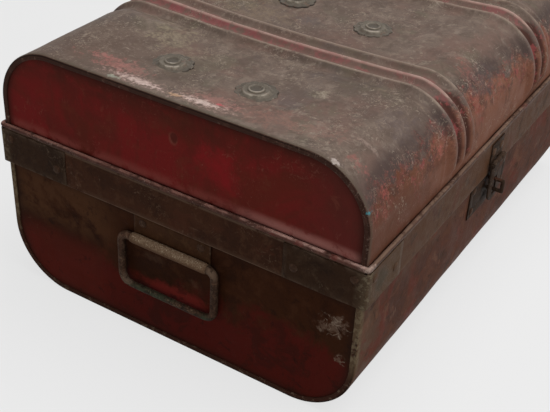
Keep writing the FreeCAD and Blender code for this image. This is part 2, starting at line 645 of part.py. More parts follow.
# Corner straps: bent over each corner of the skirt and riveted to both strips
STRAP_LEVEL = (f"{SKIRT_BOTTOM} + strap_margin", f"{LID_BASE} - strap_margin")
for side, x_sign in SIDES.items():
    for face, y_sign in FACES.items():
        corner = f"{side}_{face}"
        x_sheet, x_leg = mirrored(x_sign, (END, f"{END} + strap_thickness"),
                                  (f"{END} - strap_long_leg", f"{END} + strap_thickness"))
        y_sheet, y_leg = mirrored(y_sign, (FRONT, f"{FRONT} + strap_thickness"),
                                  (f"{FRONT} - strap_end_leg", f"{FRONT} + strap_thickness"))
        angle = fuse(f"strap_blank_{corner}", [
            block(f"strap_long_{corner}", x_leg, y_sheet, STRAP_LEVEL),
            block(f"strap_end_{corner}", x_sheet, y_leg, STRAP_LEVEL),
        ])
        drills = [shank for wall in (side, face) for name, shank in strap_shanks[wall] if name == corner]
        keep(cut(f"CornerStrap_{corner}", angle, drills), f"corner_strap_{face}_{side}")

# Rosettes: scalloped, domed washers on the top, each held by a dimpled stud over a backing washer
ROSETTE_X = f"({END} - rosette_inset)"
ROSETTES = {
    "left_front": (f"-{ROSETTE_X}", "rosette_row_shift - rosette_spread"),
    "left_back": (f"-{ROSETTE_X}", "rosette_row_shift + rosette_spread"),
    "middle_front": ("-rosette_middle_shift - rosette_middle_skew", "-rosette_middle_front"),
    "middle_back": ("-rosette_middle_shift + rosette_middle_skew", "rosette_middle_back"),
    "right_front": (ROSETTE_X, "rosette_row_shift - rosette_spread"),
    "right_back": (ROSETTE_X, "rosette_row_shift + rosette_spread"),
}
DISH_FLOOR = "(rosette_sheet + rosette_dome_height - rosette_dish_depth)"
STUD_TOP = f"({DISH_FLOOR} + stud_rim_height)"
STACK = "(sheet + backing_sheet)"
studs = []
backings = []
stud_holes = []
for spot, (x_place, y_place) in ROSETTES.items():
    scallops = []
    for number in range(ROSETTE_LOBES):
        angle = 360 * number / ROSETTE_LOBES
        ring_point = (f"(rosette_radius - rosette_lobe) * cos({angle})",
                      f"(rosette_radius - rosette_lobe) * sin({angle})", "0")
        scallops.append(rod(f"lobe_{spot}", "rosette_lobe", ring_point, "+Z", "rosette_sheet"))
    domed = fuse(f"rosette_blank_{spot}", [
        rod(f"rosette_disc_{spot}", "rosette_radius - rosette_lobe", ("0", "0", "0"), "+Z", "rosette_sheet"),
        cone(f"rosette_dome_{spot}", "rosette_dome", "rosette_dome_top", ("0", "0", "rosette_sheet"), "+Z",
             "rosette_dome_height"),
        *scallops,
    ])
    pocket = fuse(f"rosette_pocket_{spot}", [
        cone(f"rosette_dish_{spot}", "stud_rim", "rosette_dish", ("0", "0", DISH_FLOOR), "+Z",
             "rosette_dish_depth"),
        rod(f"rosette_hole_{spot}", "stud_radius", ("0", "0", "0"), "+Z",
            "rosette_sheet + rosette_dome_height"),
    ])
    rosette = cut(f"Rosette_{spot}", domed, [pocket])
    keep(place(rosette, (x_place, y_place, LID_TOP)), f"rosette_{spot}")

    stud = fuse(f"stud_blank_{spot}", [
        rod(f"stud_shank_{spot}", "stud_radius", ("0", "0", f"-{STACK}"), "+Z", f"{STACK} + {DISH_FLOOR}"),
        rod(f"stud_rim_{spot}", "stud_rim", ("0", "0", DISH_FLOOR), "+Z", "stud_rim_height"),
        cone(f"stud_clench_{spot}", "stud_rim", "stud_radius", ("0", "0", f"-{STACK}"), "-Z", "clench"),
    ])
    dimple = cone(f"stud_dimple_{spot}", "stud_dimple_floor", "stud_dimple",
                  ("0", "0", f"{STUD_TOP} - stud_dimple_depth"), "+Z", "stud_dimple_depth")
    studs.append(place(cut(f"stud_{spot}", stud, [dimple]), (x_place, y_place, LID_TOP)))

    washer = rod(f"backing_disc_{spot}", "backing_radius", ("0", "0", f"-{STACK}"), "+Z", "backing_sheet")
    washer_hole = rod(f"backing_hole_{spot}", "stud_radius", ("0", "0", f"-{STACK}"), "+Z", "backing_sheet")
    washer = cut(f"backing_{spot}", washer, [washer_hole])
    backings.append(place(washer, (x_place, y_place, LID_TOP)))
    stud_holes.append(rod(f"lid_hole_{spot}", "stud_radius", (x_place, y_place, f"{LID_TOP} - sheet"), "+Z",
                          "sheet"))
keep(group("RosetteStuds", studs), "rosette_studs")
keep(group("BackingWashers", backings), "rosette_backing_washers")
keep(cut("LidWrap", lid_wrap, stud_holes), "lid_wrap")

doc.recompute()
for feature in doc.Objects:
    if {"Invalid", "Error"} & set(feature.State):
        raise RuntimeError(f"{feature.Label} failed: {feature.State}")
for piece in subparts:
    if piece.Shape.isNull() or not piece.Shape.isValid():
        raise RuntimeError(f"{piece.Label} has no valid shape")

os.makedirs("parts", exist_ok=True)
for piece in subparts:
    piece.Shape.exportStep(os.path.join("parts", f"{piece.Label}.step"))
print(len(subparts), "pieces")
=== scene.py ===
import bmesh
import bpy
import math
from mathutils import Matrix, Vector, noise


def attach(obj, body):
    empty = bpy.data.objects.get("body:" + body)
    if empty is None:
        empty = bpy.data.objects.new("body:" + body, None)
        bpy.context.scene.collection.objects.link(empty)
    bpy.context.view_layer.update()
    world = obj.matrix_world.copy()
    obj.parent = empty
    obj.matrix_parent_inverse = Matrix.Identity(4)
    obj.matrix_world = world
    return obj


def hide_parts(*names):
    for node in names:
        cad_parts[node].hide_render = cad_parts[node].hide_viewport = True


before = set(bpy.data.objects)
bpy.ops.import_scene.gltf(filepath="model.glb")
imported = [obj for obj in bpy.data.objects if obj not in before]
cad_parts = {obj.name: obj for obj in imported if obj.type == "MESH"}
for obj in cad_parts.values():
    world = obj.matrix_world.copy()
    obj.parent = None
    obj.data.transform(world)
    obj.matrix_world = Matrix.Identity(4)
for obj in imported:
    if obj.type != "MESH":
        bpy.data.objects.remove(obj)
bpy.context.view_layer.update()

# The room: a plain pale floor under the case, a large soft lamp high over its front, and even light
# from all round.  The camera looks down on the left front corner at the photograph's angle.
FLOOR_SIZE = 8.0
FLOOR_GREY = (0.45, 0.45, 0.45)
FLOOR_GLOW = 0.7
WHITE = (1.0, 1.0, 1.0)
DAYLIGHT = (0.98, 0.99, 1.0)
DAYLIGHT_STRENGTH = 0.3
LAMP_AIM = Vector((0.0, 0.0, 0.15))
LAMPS = (
    ("top_softbox", (0.05, -0.42, 1.8), 1.6, 27.0),
    ("front_softbox", (0.55, -1.9, 0.75), 1.3, 7.0),
    ("end_softbox", (-2.0, -0.5, 0.55), 1.2, 6.0),
)
CAMERA_PLACE = Vector((-0.88895, -0.46948, 0.68213))
CAMERA_AZIMUTH = math.radians(-59.61)
CAMERA_ELEVATION = math.radians(33.94)
CAMERA_ROLL = math.radians(3.19)
CAMERA_LENS = 68.47
CAMERA_SENSOR = 36.0


def put(name, data):
    """A new object in the scene."""
    made = bpy.data.objects.new(name, data)
    bpy.context.scene.collection.objects.link(made)
    return made


def plug(tree, value, socket):
    """Links a socket or sets a plain value; a colour is given by its red, green and blue."""
    if isinstance(value, bpy.types.NodeSocket):
        tree.links.new(value, socket)
    elif socket.type == "RGBA":
        socket.default_value = (*value, 1.0)
    else:
        socket.default_value = value


def add(tree, kind, inputs=None, **settings):
    """A shader node with its settings, its plain values and the sockets that feed it."""
    made = tree.nodes.new(kind)
    for name, value in settings.items():
        setattr(made, name, value)
    for name, value in (inputs or {}).items():
        plug(tree, value, made.inputs[name])
    return made


def seen_white(tree, lit, white, glow, surface):
    """Lets the camera, and a gloss or glass, see white instead of the surface that takes the light."""
    path = add(tree, "ShaderNodeLightPath")
    share = path.outputs["Is Camera Ray"]
    for ray in ("Is Glossy Ray", "Is Transmission Ray"):
        share = add(tree, "ShaderNodeMath", {0: share, 1: path.outputs[ray]}, operation="MAXIMUM").outputs[0]
    share = add(tree, "ShaderNodeMath", {0: share, 1: glow}, operation="MULTIPLY").outputs[0]
    mix = add(tree, "ShaderNodeMixShader", {"Fac": share, 1: lit.outputs[0], 2: white.outputs[0]})
    tree.links.new(mix.outputs[0], surface)


floor_mesh = bpy.data.meshes.new("floor")
floor_net = bmesh.new()
bmesh.ops.create_grid(floor_net, x_segments=1, y_segments=1, size=FLOOR_SIZE / 2)
floor_net.to_mesh(floor_mesh)
floor_net.free()
put("floor", floor_mesh)
floor_paint = bpy.data.materials.new("pale_floor")
floor_paint.use_nodes = True
floor_mesh.materials.append(floor_paint)
tree = floor_paint.node_tree
floor_shader = tree.nodes["Principled BSDF"]
plug(tree, FLOOR_GREY, floor_shader.inputs["Base Color"])
plug(tree, 0.9, floor_shader.inputs["Roughness"])
seen_white(tree, floor_shader, add(tree, "ShaderNodeEmission", {"Color": WHITE, "Strength": 1.0}), FLOOR_GLOW,
           tree.nodes["Material Output"].inputs["Surface"])

world = bpy.data.worlds.new("daylight")
bpy.context.scene.world = world
world.use_nodes = True
tree = world.node_tree
sky = tree.nodes["Background"]
plug(tree, DAYLIGHT, sky.inputs["Color"])
plug(tree, DAYLIGHT_STRENGTH, sky.inputs["Strength"])
seen_white(tree, sky, add(tree, "ShaderNodeBackground", {"Color": WHITE, "Strength": 1.0}), 1.0,
           tree.nodes["World Output"].inputs["Surface"])

for lamp_name, lamp_place, lamp_size, lamp_power in LAMPS:
    lamp_data = bpy.data.lights.new(lamp_name, "AREA")
    lamp_data.size = lamp_size
    lamp_data.energy = lamp_power
    lamp_turn = (LAMP_AIM - Vector(lamp_place)).to_track_quat("-Z", "Y").to_matrix()
    put(lamp_name, lamp_data).matrix_world = Matrix.Translation(lamp_place) @ lamp_turn.to_4x4()

camera_right = Vector((math.cos(CAMERA_AZIMUTH), math.sin(CAMERA_AZIMUTH), 0.0))
camera_back = Vector((camera_right.y, -camera_right.x, 0.0)) * math.cos(CAMERA_ELEVATION)
camera_back.z = math.sin(CAMERA_ELEVATION)
camera_level = Matrix((camera_right, camera_back.cross(camera_right), camera_back)).transposed()
camera_data = bpy.data.cameras.new("camera")
camera_data.lens = CAMERA_LENS
camera_data.sensor_width = CAMERA_SENSOR
camera = put("camera", camera_data)
camera_turn = camera_level @ Matrix.Rotation(CAMERA_ROLL, 3, "Z")
camera.matrix_world = Matrix.Translation(CAMERA_PLACE) @ camera_turn.to_4x4()
bpy.context.scene.camera = camera
bpy.context.scene.view_settings.view_transform = "Standard"

# The body is one sheet of 0.8 mm steel, bent up at the front and the back with wide round lower edges.
# Its two end rims are folded over the flat end panels.  Years of carrying have left shallow dents.
SHEET = 0.0008
END_WALL = 0.2714
FRONT_WALL = 0.1964
BODY_TOP = 0.171
BODY_RADIUS = 0.064
SEAM_WIDTH = 0.0055
SEAM_PROUD = 0.0012
HEM_BULGE = 0.0013
# a seam holds the sheet true up to this distance
SEAM_STIFF = 0.03
# x beyond the end wall and depth below the wrap, from the panel out and round to the wrap
FOLDED_RIM = (
    (-0.0003, SEAM_WIDTH + 0.0001), (SEAM_PROUD - 0.0002, SEAM_WIDTH), (SEAM_PROUD, SEAM_WIDTH - 0.0004),
    (SEAM_PROUD, SEAM_WIDTH * 0.65), (SEAM_PROUD, SEAM_WIDTH * 0.45), (SEAM_PROUD, HEM_BULGE),
    (SEAM_PROUD - 0.0004, HEM_BULGE * 0.35), (SEAM_PROUD - HEM_BULGE, 0.0), (SEAM_PROUD - 3 * HEM_BULGE, 0.0),
)


def within(share):
    """A share kept between 0 and 1."""
    return min(1.0, max(0.0, share))


def spread(start, end, step):
    """Even stations from start to end, no further apart than a step; the end itself is left out."""
    count = max(1, math.ceil(abs(end - start) / step - 1e-6))
    return [start + (end - start) * number / count for number in range(count)]


def arched(distance, half, foot, crown, radius, depth):
    """A point of an outline that runs from its front foot round two bends to its back foot.

    Gives the place at a depth inside the outline, and the outward direction.
    """
    rise = math.copysign(1.0, crown - foot)
    straight = abs(crown - foot) - radius
    bend = radius * math.pi / 2
    whole = 2 * (straight + bend + half - radius)
    side = -1.0 if distance < whole / 2 else 1.0
    run = min(distance, whole - distance)
    if run < straight:
        y, z, out = side * half, foot + rise * run, Vector((0, side, 0))
    elif run < straight + bend:
        turned = (run - straight) / radius
        out = Vector((0, side * math.cos(turned), rise * math.sin(turned)))
        y, z = side * (half - radius) + out.y * radius, foot + rise * straight + out.z * radius
    else:
        y, z, out = side * (half - radius + straight + bend - run), crown, Vector((0, 0, rise))
    return Vector((0, y, z)) - out * depth, out


def outline_stations(half, foot, crown, radius, fine, coarse):
    """Distances along an arched outline, close together in its bends."""
    straight, bend = abs(crown - foot) - radius, radius * math.pi / 2
    stations, mark = [], 0.0
    for length, step in ((straight, coarse), (bend, fine), (2 * (half - radius), coarse), (bend, fine),
                         (straight, coarse)):
        stations += spread(mark, mark + length, step)
        mark += length
    return stations + [mark]


def grid_mesh(columns, rows, shape, wear_and_shading=None):
    """A flat grid with a line of faces between stations, each corner then moved to where shape puts it.

    The wear and shading masks give named values between 0 and 1 that the paint reads at each corner: wear,
    painted shade and painted highlights.
    """
    net = bmesh.new()
    across, up = len(columns) - 1, len(rows) - 1
    bmesh.ops.create_grid(net, x_segments=across, y_segments=up, size=0.5)
    layers = [(net.verts.layers.float.new(name), value) for name, value in (wear_and_shading or {}).items()]
    for corner in net.verts:
        column = columns[round((corner.co.x + 0.5) * across)]
        row = rows[round((corner.co.y + 0.5) * up)]
        for layer, value in layers:
            corner[layer] = value(column, row)
        corner.co = shape(column, row)
    return net


def finish_piece(name, net, body, node, materials, thickness=0.0, outward=None, offset=-1.0):
    """Turns a bmesh into a finished piece that rides on a body and stands for its node.

    A sheet gets its thickness on the inner side; outwards is away from the case's long axis if not given.
    """
    bmesh.ops.remove_doubles(net, verts=net.verts, dist=1e-6)
    if thickness:
        net.normal_update()
        facing = 0.0
        for face in net.faces:
            middle = face.calc_center_median()
            away = Vector((0, middle.y, middle.z - BODY_TOP)) if outward is None else outward
            facing += face.calc_area() * face.normal.dot(away)
        if facing < 0:
            bmesh.ops.reverse_faces(net, faces=net.faces)
    else:
        bmesh.ops.recalc_face_normals(net, faces=net.faces)
    for face in net.faces:
        face.smooth = True
    mesh = bpy.data.meshes.new(name)
    net.to_mesh(mesh)
    net.free()
    piece = put(name, mesh)
    for material in materials:
        mesh.materials.append(material)
    if thickness:
        wall = piece.modifiers.new("sheet_thickness", "SOLIDIFY")
        wall.thickness = thickness
        wall.offset = offset
        wall.use_even_offset = False
        wall.material_offset = len(materials) - 1
        wall.material_offset_rim = 0
    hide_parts(node)
    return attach(piece, body)


def dented(place, size, seed):
    """Between -1 and 1: the slow rise and fall of hand-beaten sheet."""
    return noise.noise(place / size + Vector((seed * 7.3, seed * 3.1, -seed * 5.7)))


class Wiring:
    """A tree of shader nodes, with short words for the nodes that the patterns are made of."""

    def __init__(self, tree):
        self.tree = tree

    def maths(self, operation, first, second=0.5):
        return add(self.tree, "ShaderNodeMath", {0: first, 1: second}, operation=operation).outputs[0]

    def times(self, first, second):
        return self.maths("MULTIPLY", first, second)

    def plus(self, first, second):
        return self.maths("ADD", first, second)

    def less(self, first, second):
        return self.maths("SUBTRACT", first, second)

    def vectors(self, operation, first, second=(0.0, 0.0, 0.0)):
        return add(self.tree, "ShaderNodeVectorMath", {0: first, 1: second}, operation=operation).outputs

    def step(self, value, low, high, to_low=0.0, to_high=1.0):
        """A soft step of a value between two limits."""
        limits = {"Value": value, "From Min": low, "From Max": high, "To Min": to_low, "To Max": to_high}
        return add(self.tree, "ShaderNodeMapRange", limits, interpolation_type="SMOOTHSTEP").outputs[0]

    def clouds(self, scale, detail, rough, twist=0.0, vector=None):
        vector = self.vector if vector is None else vector
        return add(self.tree, "ShaderNodeTexNoise", {"Vector": vector, "Scale": scale, "Detail": detail,
                                                     "Roughness": rough, "Distortion": twist}).outputs["Fac"]

    def lines(self, pattern, thin, thick):
        """Winding lines, where a pattern crosses its middle."""
        return self.step(self.maths("ABSOLUTE", self.less(pattern, 0.5)), thin, thick, 1.0, 0.0)

    def blend(self, share, first, second, mode="MIX"):
        return add(self.tree, "ShaderNodeMix", {0: share, 6: first, 7: second}, data_type="RGBA",
                   blend_type=mode).outputs[2]


class Effect(Wiring):
    """A node group that several paints share; a socket is a vector, a colour or a plain first value."""

    def __init__(self, name, sockets, results):
        super().__init__(bpy.data.node_groups.new(name, "ShaderNodeTree"))
        for label, first in {"Vector": "Vector", **sockets}.items():
            kind = first if isinstance(first, str) else "Float"
            socket = self.tree.interface.new_socket(label, in_out="INPUT", socket_type=f"NodeSocket{kind}")
            if kind == "Float":
                socket.default_value = first
        for label, kind in results.items():
            self.tree.interface.new_socket(label, in_out="OUTPUT", socket_type=f"NodeSocket{kind}")
        self.given = self.tree.nodes.new("NodeGroupInput").outputs
        self.result = self.tree.nodes.new("NodeGroupOutput").inputs
        self.vector = self.given["Vector"]

    def give(self, **results):
        for label, socket in results.items():
            self.tree.links.new(socket, self.result[label])


# a soft stain: one inside an ellipsoid about a centre, with a frayed edge
stain = Effect("stain", {"Centre": "Vector", "Size": "Vector", "Fray": 0.8, "Grain": 60.0, "Soft": 0.6,
                         "Speckle": 0.7}, {"Mask": "Float"})
reach = stain.vectors("SUBTRACT", stain.vector, stain.given["Centre"])[0]
reach = stain.vectors("LENGTH", stain.vectors("DIVIDE", reach, stain.given["Size"])[0])["Value"]
fray = stain.less(stain.clouds(stain.given["Grain"], 7.0, 0.68), 0.5)
fray = stain.times(fray, stain.given["Fray"])
reach = stain.plus(reach, stain.times(fray, 3.0))
mask = stain.step(reach, stain.less(1.0, stain.given["Soft"]), 1.0, 1.0, 0.0)
speckle = stain.step(stain.clouds(330.0, 5.0, 0.72, 0.2), 0.42, 0.6)
speckle = stain.plus(stain.times(speckle, stain.given["Speckle"]), stain.less(1.0, stain.given["Speckle"]))
stain.give(Mask=stain.times(mask, speckle))

# mottled old paint: broad cloudy fields, blots and fine grain in three shades
mottle = Effect("mottle", {"Ground": "Color", "Dark": "Color", "Light": "Color", "Broad": 12.0, "Fine": 120.0,
                           "Darkness": 0.6, "Lightness": 0.4, "Grain": 0.2},
                {"Color": "Color", "Height": "Float"})
broad = mottle.clouds(mottle.given["Broad"], 6.0, 0.62, 0.6)
blots = mottle.clouds(mottle.times(mottle.given["Broad"], 2.7), 6.0, 0.68, 0.7)
fine = mottle.clouds(mottle.given["Fine"], 6.0, 0.7, 0.4)
mixed = mottle.given["Ground"]
for pattern, low, high, amount, shade in ((broad, 0.46, 0.6, "Darkness", "Dark"),
                                          (blots, 0.5, 0.62, "Darkness", "Dark"),
                                          (fine, 0.5, 0.64, "Lightness", "Light")):
    share = mottle.times(mottle.step(pattern, low, high), mottle.given[amount])
    mixed = mottle.blend(share, mixed, mottle.given[shade])
grain = mottle.clouds(480.0, 4.0, 0.6)
shade = mottle.plus(mottle.times(mottle.step(grain, 0.3, 0.7, -1.0, 1.0), mottle.given["Grain"]), 1.0)
grey = add(mottle.tree, "ShaderNodeCombineColor", {"Red": shade, "Green": shade, "Blue": shade}).outputs[0]
mottle.give(Color=mottle.blend(1.0, mixed, grey, "MULTIPLY"),
            Height=mottle.plus(fine, mottle.times(grain, 0.4)))

# flecks: thin curled outlines and small dabs of crust, in clusters
flecks = Effect("flecks", {"Scale": 110.0, "Amount": 0.5}, {"Mask": "Float"})
curl = flecks.lines(flecks.clouds(flecks.given["Scale"], 2.0, 0.5, 0.8), 0.008, 0.03)
breaks = flecks.clouds(flecks.times(flecks.given["Scale"], 1.9), 3.0, 0.6)
dabs = flecks.clouds(flecks.times(flecks.given["Scale"], 2.3), 5.0, 0.7)
curl = flecks.times(curl, flecks.step(breaks, 0.47, 0.58))
curl = flecks.maths("MAXIMUM", curl, flecks.step(dabs, 0.6, 0.68))
cluster = flecks.plus(flecks.clouds(19.0, 6.0, 0.72, 0.5), flecks.times(flecks.given["Amount"], 0.22))
flecks.give(Mask=flecks.times(curl, flecks.step(cluster, 0.66, 0.76)))

# scratches: long thin strokes along the stretch of the vector, and curling hairlines, in broken groups
scratches = Effect("scratches", {"Stretch": "Vector", "Amount": 0.5, "Hairs": 38.0}, {"Mask": "Float"})
strokes = scratches.vectors("MULTIPLY", scratches.vector, scratches.given["Stretch"])[0]
strokes = scratches.step(scratches.clouds(1.0, 2.0, 0.5, vector=strokes), 0.66, 0.74)
broken = scratches.step(scratches.clouds(26.0, 4.0, 0.6), 0.5, 0.62)
hair = scratches.lines(scratches.clouds(scratches.given["Hairs"], 2.0, 0.5, 1.2), 0.002, 0.007)
patchy = scratches.step(scratches.clouds(30.0, 6.0, 0.7, 0.4), 0.53, 0.6)
patchy = scratches.times(patchy, scratches.step(scratches.clouds(420.0, 3.0, 0.6), 0.4, 0.6))
marked = scratches.maths("MAXIMUM", scratches.times(strokes, broken), scratches.times(hair, patchy))
scratches.give(Mask=scratches.times(marked, scratches.given["Amount"]))

# chips: small sharp-edged spots where paint has flaked
chips = Effect("chips", {"Scale": 90.0, "Amount": 0.3}, {"Mask": "Float"})
threshold = chips.less(0.76, chips.times(chips.given["Amount"], 0.26))
excess = chips.less(chips.clouds(chips.given["Scale"], 8.0, 0.72, 0.3), threshold)
chips.give(Mask=chips.step(excess, 0.0, 0.02))


class Paint(Wiring):
    """A painted-steel material that is laid on coat by coat, each coat where its patterns overlap.

    A pattern is a wear value of the mesh by its name, or a socket.  In brackets it is one of these or an
    axis, with the two levels between which it rises; or the scale of clouds with two levels, and their
    twist if that isn't 0.4; or a shared effect with its values.
    """

    def __init__(self, name, ground, dark, light, broad=12.0, fine=120.0, darkness=0.6, lightness=0.4,
                 rough=0.5, metallic=0.0, gloss=0.05, grain=0.15):
        self.material = bpy.data.materials.new(name)
        self.material.use_nodes = True
        super().__init__(self.material.node_tree)
        self.shader = self.tree.nodes["Principled BSDF"].inputs
        self.shader["Metallic"].default_value = metallic
        self.shader["Specular IOR Level"].default_value = gloss
        self.vector = add(self.tree, "ShaderNodeTexCoord").outputs["Object"]
        mottled = self.lay(mottle, ground, dark, light, broad, fine, darkness, lightness, grain)
        self.colour = mottled["Color"]
        self.height = mottled["Height"]
        self.rough = self.step(self.height, 0.5, 0.9, rough - 0.08, rough + 0.12)

    def lay(self, effect, *values):
        """The outputs of a shared effect, with its values in the order of its sockets."""
        group = add(self.tree, "ShaderNodeGroup", node_tree=effect.tree)
        for value, socket in zip((self.vector, *values), group.inputs):
            plug(self.tree, value, socket)
        return group.outputs

    def pattern(self, head, *levels):
        if isinstance(head, Effect):
            return self.lay(head, *levels)["Mask"]
        if isinstance(head, float):
            return self.step(self.clouds(head, 7.0, 0.68, *(levels[2:] or [0.4])), *levels[:2])
        if isinstance(head, str) and head in "XYZ":
            head = add(self.tree, "ShaderNodeSeparateXYZ", {0: self.vector}).outputs[head]
        elif isinstance(head, str):
            head = add(self.tree, "ShaderNodeAttribute", attribute_name=head).outputs["Fac"]
        return self.step(head, *levels) if levels else head

    def over(self, *patterns):
        """Where all of the patterns overlap."""
        whole = None
        for pattern in patterns:
            mask = self.pattern(*(pattern if isinstance(pattern, tuple) else (pattern,)))
            whole = mask if whole is None else self.times(whole, mask)
        return whole

    def ragged_height(self, scale, rough, wander):
        """The height of a place, moved up and down by clouds, so that a step of it has a ragged border."""
        clouds = self.less(self.clouds(scale, 7.0, rough, 0.5), 0.5)
        return self.plus(self.pattern("Z"), self.times(clouds, wander))

    def coat(self, shade, share, *patterns, lift=0.0, rough=None):
        """One more coat of a shade; lift raises or sinks it."""
        mask = self.over(*patterns)
        if share != 1.0:
            mask = self.times(mask, share)
        self.colour = self.blend(mask, self.colour, shade)
        if lift:
            self.height = self.plus(self.height, self.times(mask, lift))
        if rough is not None:
            self.rough = add(self.tree, "ShaderNodeMix", {0: mask, 2: self.rough, 3: rough}).outputs[0]

    def finish(self, relief=0.0004, strength=0.5):
        bump = add(self.tree, "ShaderNodeBump",
                   {"Strength": strength, "Distance": relief, "Height": self.height}).outputs[0]
        for label, socket in {"Base Color": self.colour, "Roughness": self.rough, "Normal": bump}.items():
            self.tree.links.new(socket, self.shader[label])
        return self.material


# dull brown primer on the inside of the sheets, spotted with rust
paint = Paint("inside_primer", (0.11, 0.07, 0.05), (0.05, 0.03, 0.02), (0.2, 0.14, 0.1), broad=14.0,
              fine=90.0, darkness=0.7, lightness=0.35, rough=0.62)
paint.coat((0.15, 0.06, 0.03), 0.8, (chips, 40.0, 0.55), lift=0.3)
paint.coat((0.3, 0.24, 0.2), 1.0, (scratches, (30.0, 700.0, 700.0), 0.5))
PRIMER = paint.finish()

paint = Paint("body_wrap_paint", (0.08, 0.029, 0.017), (0.05, 0.02, 0.012), (0.125, 0.056, 0.035),
              broad=11.0, fine=60.0, lightness=0.45, gloss=0.015, grain=0.1)
edges = paint.maths("MAXIMUM", paint.over(("X", -0.216, -0.258)), paint.over(("Z", 0.104, 0.14)))
paint.coat((0.094, 0.05, 0.029), 0.9, edges, (17.0, 0.34, 0.54))
paint.coat((0.112, 0.025, 0.015), 0.65, (20.0, 0.52, 0.62))
paint.coat((0.14, 0.06, 0.036), 0.6, (34.0, 0.55, 0.64))
paint.coat((0.042, 0.019, 0.011), 0.7, (46.0, 0.57, 0.64))
paint.coat((0.21, 0.125, 0.085), 0.45, (flecks, 130.0, 0.5), lift=0.3)
paint.coat((0.2, 0.125, 0.09), 1.0, (scratches, (700.0, 700.0, 40.0), 0.35))
for stroke in range(4):
    place = (-0.208 + 0.003 * stroke, -FRONT_WALL, 0.079 + 0.0012 * stroke)
    paint.coat((0.26, 0.165, 0.12), 0.6, (stain, place, (0.0007, 0.01, 0.0052), 0.3, 160.0, 0.7, 0.3))
paint.coat((0.036, 0.015, 0.01), 0.9, ("hem", 0.25, 0.42))
# painted shade and grime: the near-black line under the rolled edge of each folded rim
paint.coat((0.01, 0.006, 0.004), 0.9, ("hem", 0.65, 0.85))
paint.coat((0.13, 0.085, 0.058), 0.7, ("hem", 0.15, 0.35), (150.0, 0.56, 0.62), lift=0.5)
paint.coat((0.108, 0.07, 0.04), 0.85, ("X", -0.264, -0.269), ("Z", 0.045, 0.075), (60.0, 0.36, 0.48))
paint.coat((0.195, 0.15, 0.092), 0.55, ("X", -0.2655, -0.27), (190.0, 0.47, 0.54), ("Z", 0.06, 0.078),
           lift=0.8, rough=0.8)
BODY_WRAP_PAINT = paint.finish(0.0006, 0.6)


def with_folded_rims(stations):
    """Columns across a wrap, as x and depth: the stations with the folded rim at each end."""
    columns = [(-END_WALL - x, depth) for x, depth in FOLDED_RIM] + [(x, 0.0) for x in stations]
    return columns + [(END_WALL + x, depth) for x, depth in reversed(FOLDED_RIM)]


def hem_shade_and_grime(column, distance):
    """On a folded rim: one in the line of painted shade and grime under its rolled edge, a half on the flat
    of the fold.
    """
    if column[1] < 0.0002:
        return 0.0
    return 0.5 if column[1] > SEAM_WIDTH * 0.4 else min(1.0, column[1] / 0.0011)


def free_of_seam(x):
    """From none at an end seam, which holds the sheet true, to one where it no longer does."""
    return within((END_WALL - abs(x)) / SEAM_STIFF)


def body_wrap_shape(column, distance):
    x, depth = column
    point, out = arched(distance, FRONT_WALL, BODY_TOP, 0.0, BODY_RADIUS, depth)
    point.x = x
    standing = 1.0 if point.z > 0.004 else 0.0
    swell = dented(point, 0.16, 1) * 0.0012 + dented(point, 0.05, 2) * 0.0005
    return point - out * (abs(swell) * standing * (0.15 + 0.85 * free_of_seam(x)))


# the even columns of a wrap end here, short of its folded rims
WRAP_EVEN = 0.262
body_rows = outline_stations(FRONT_WALL, BODY_TOP, 0.0, BODY_RADIUS, 0.004, 0.008)
body_columns = with_folded_rims(spread(-WRAP_EVEN, WRAP_EVEN, 0.007) + [WRAP_EVEN])
finish_piece("body_sheet", grid_mesh(body_columns, body_rows, body_wrap_shape, {"hem": hem_shade_and_grime}), "body",
             "body_wrap", [BODY_WRAP_PAINT, PRIMER], SHEET)

# Each end of the body is a flat panel held in the folded rim.  It is dark and greasy below the band, where
# hands and the handle rub it, with painted shade along its seams and just under the band; red paint is
# left towards its foot.
SKIRT_FOOT = 0.1347

paint = Paint("body_end_paint", (0.036, 0.012, 0.005), (0.02, 0.007, 0.0035), (0.06, 0.023, 0.011),
              broad=10.0, fine=48.0, darkness=0.65, rough=0.42, gloss=0.012, grain=0.06)
red_border = paint.ragged_height(13.0, 0.64, 0.16)
paint.coat((0.07, 0.0085, 0.006), 0.9, (red_border, 0.076, 0.048))
paint.coat((0.036, 0.008, 0.005), 0.75, (red_border, 0.07, 0.052), (28.0, 0.5, 0.6))
paint.coat((0.074, 0.031, 0.014), 0.85, ("Z", 0.07, 0.095), ("Y", 0.05, 0.1), (24.0, 0.4, 0.56))
paint.coat((0.088, 0.013, 0.008), 0.7, ("Z", 0.084, 0.056), ("Y", 0.07, 0.1))
for y, z, size, shade, share, look in (
        (0.0, 0.058, (0.03, 0.054, 0.012), (0.15, 0.018, 0.014), 0.9, (0.45, 60.0, 0.7, 0.1)),
        (0.022, 0.09, (0.02, 0.013, 0.007), (0.07, 0.036, 0.021), 0.6, (1.2, 110.0, 0.8, 0.3)),
        (-0.026, 0.08, (0.02, 0.008, 0.008), (0.07, 0.036, 0.021), 0.6, (1.2, 110.0, 0.8, 0.3))):
    paint.coat(shade, share, (stain, (-END_WALL, y, z), size, *look))
paint.coat((0.014, 0.006, 0.004), 0.5, (64.0, 0.58, 0.66), rough=0.35)
paint.coat((0.105, 0.05, 0.03), 0.4, (flecks, 110.0, 0.4), lift=0.2)
paint.coat((0.1, 0.048, 0.032), 1.0, (scratches, (60.0, 700.0, 700.0), 0.25))
# painted shade along the seams and just under the band
paint.coat((0.018, 0.009, 0.006), 0.7, "edge_shade")
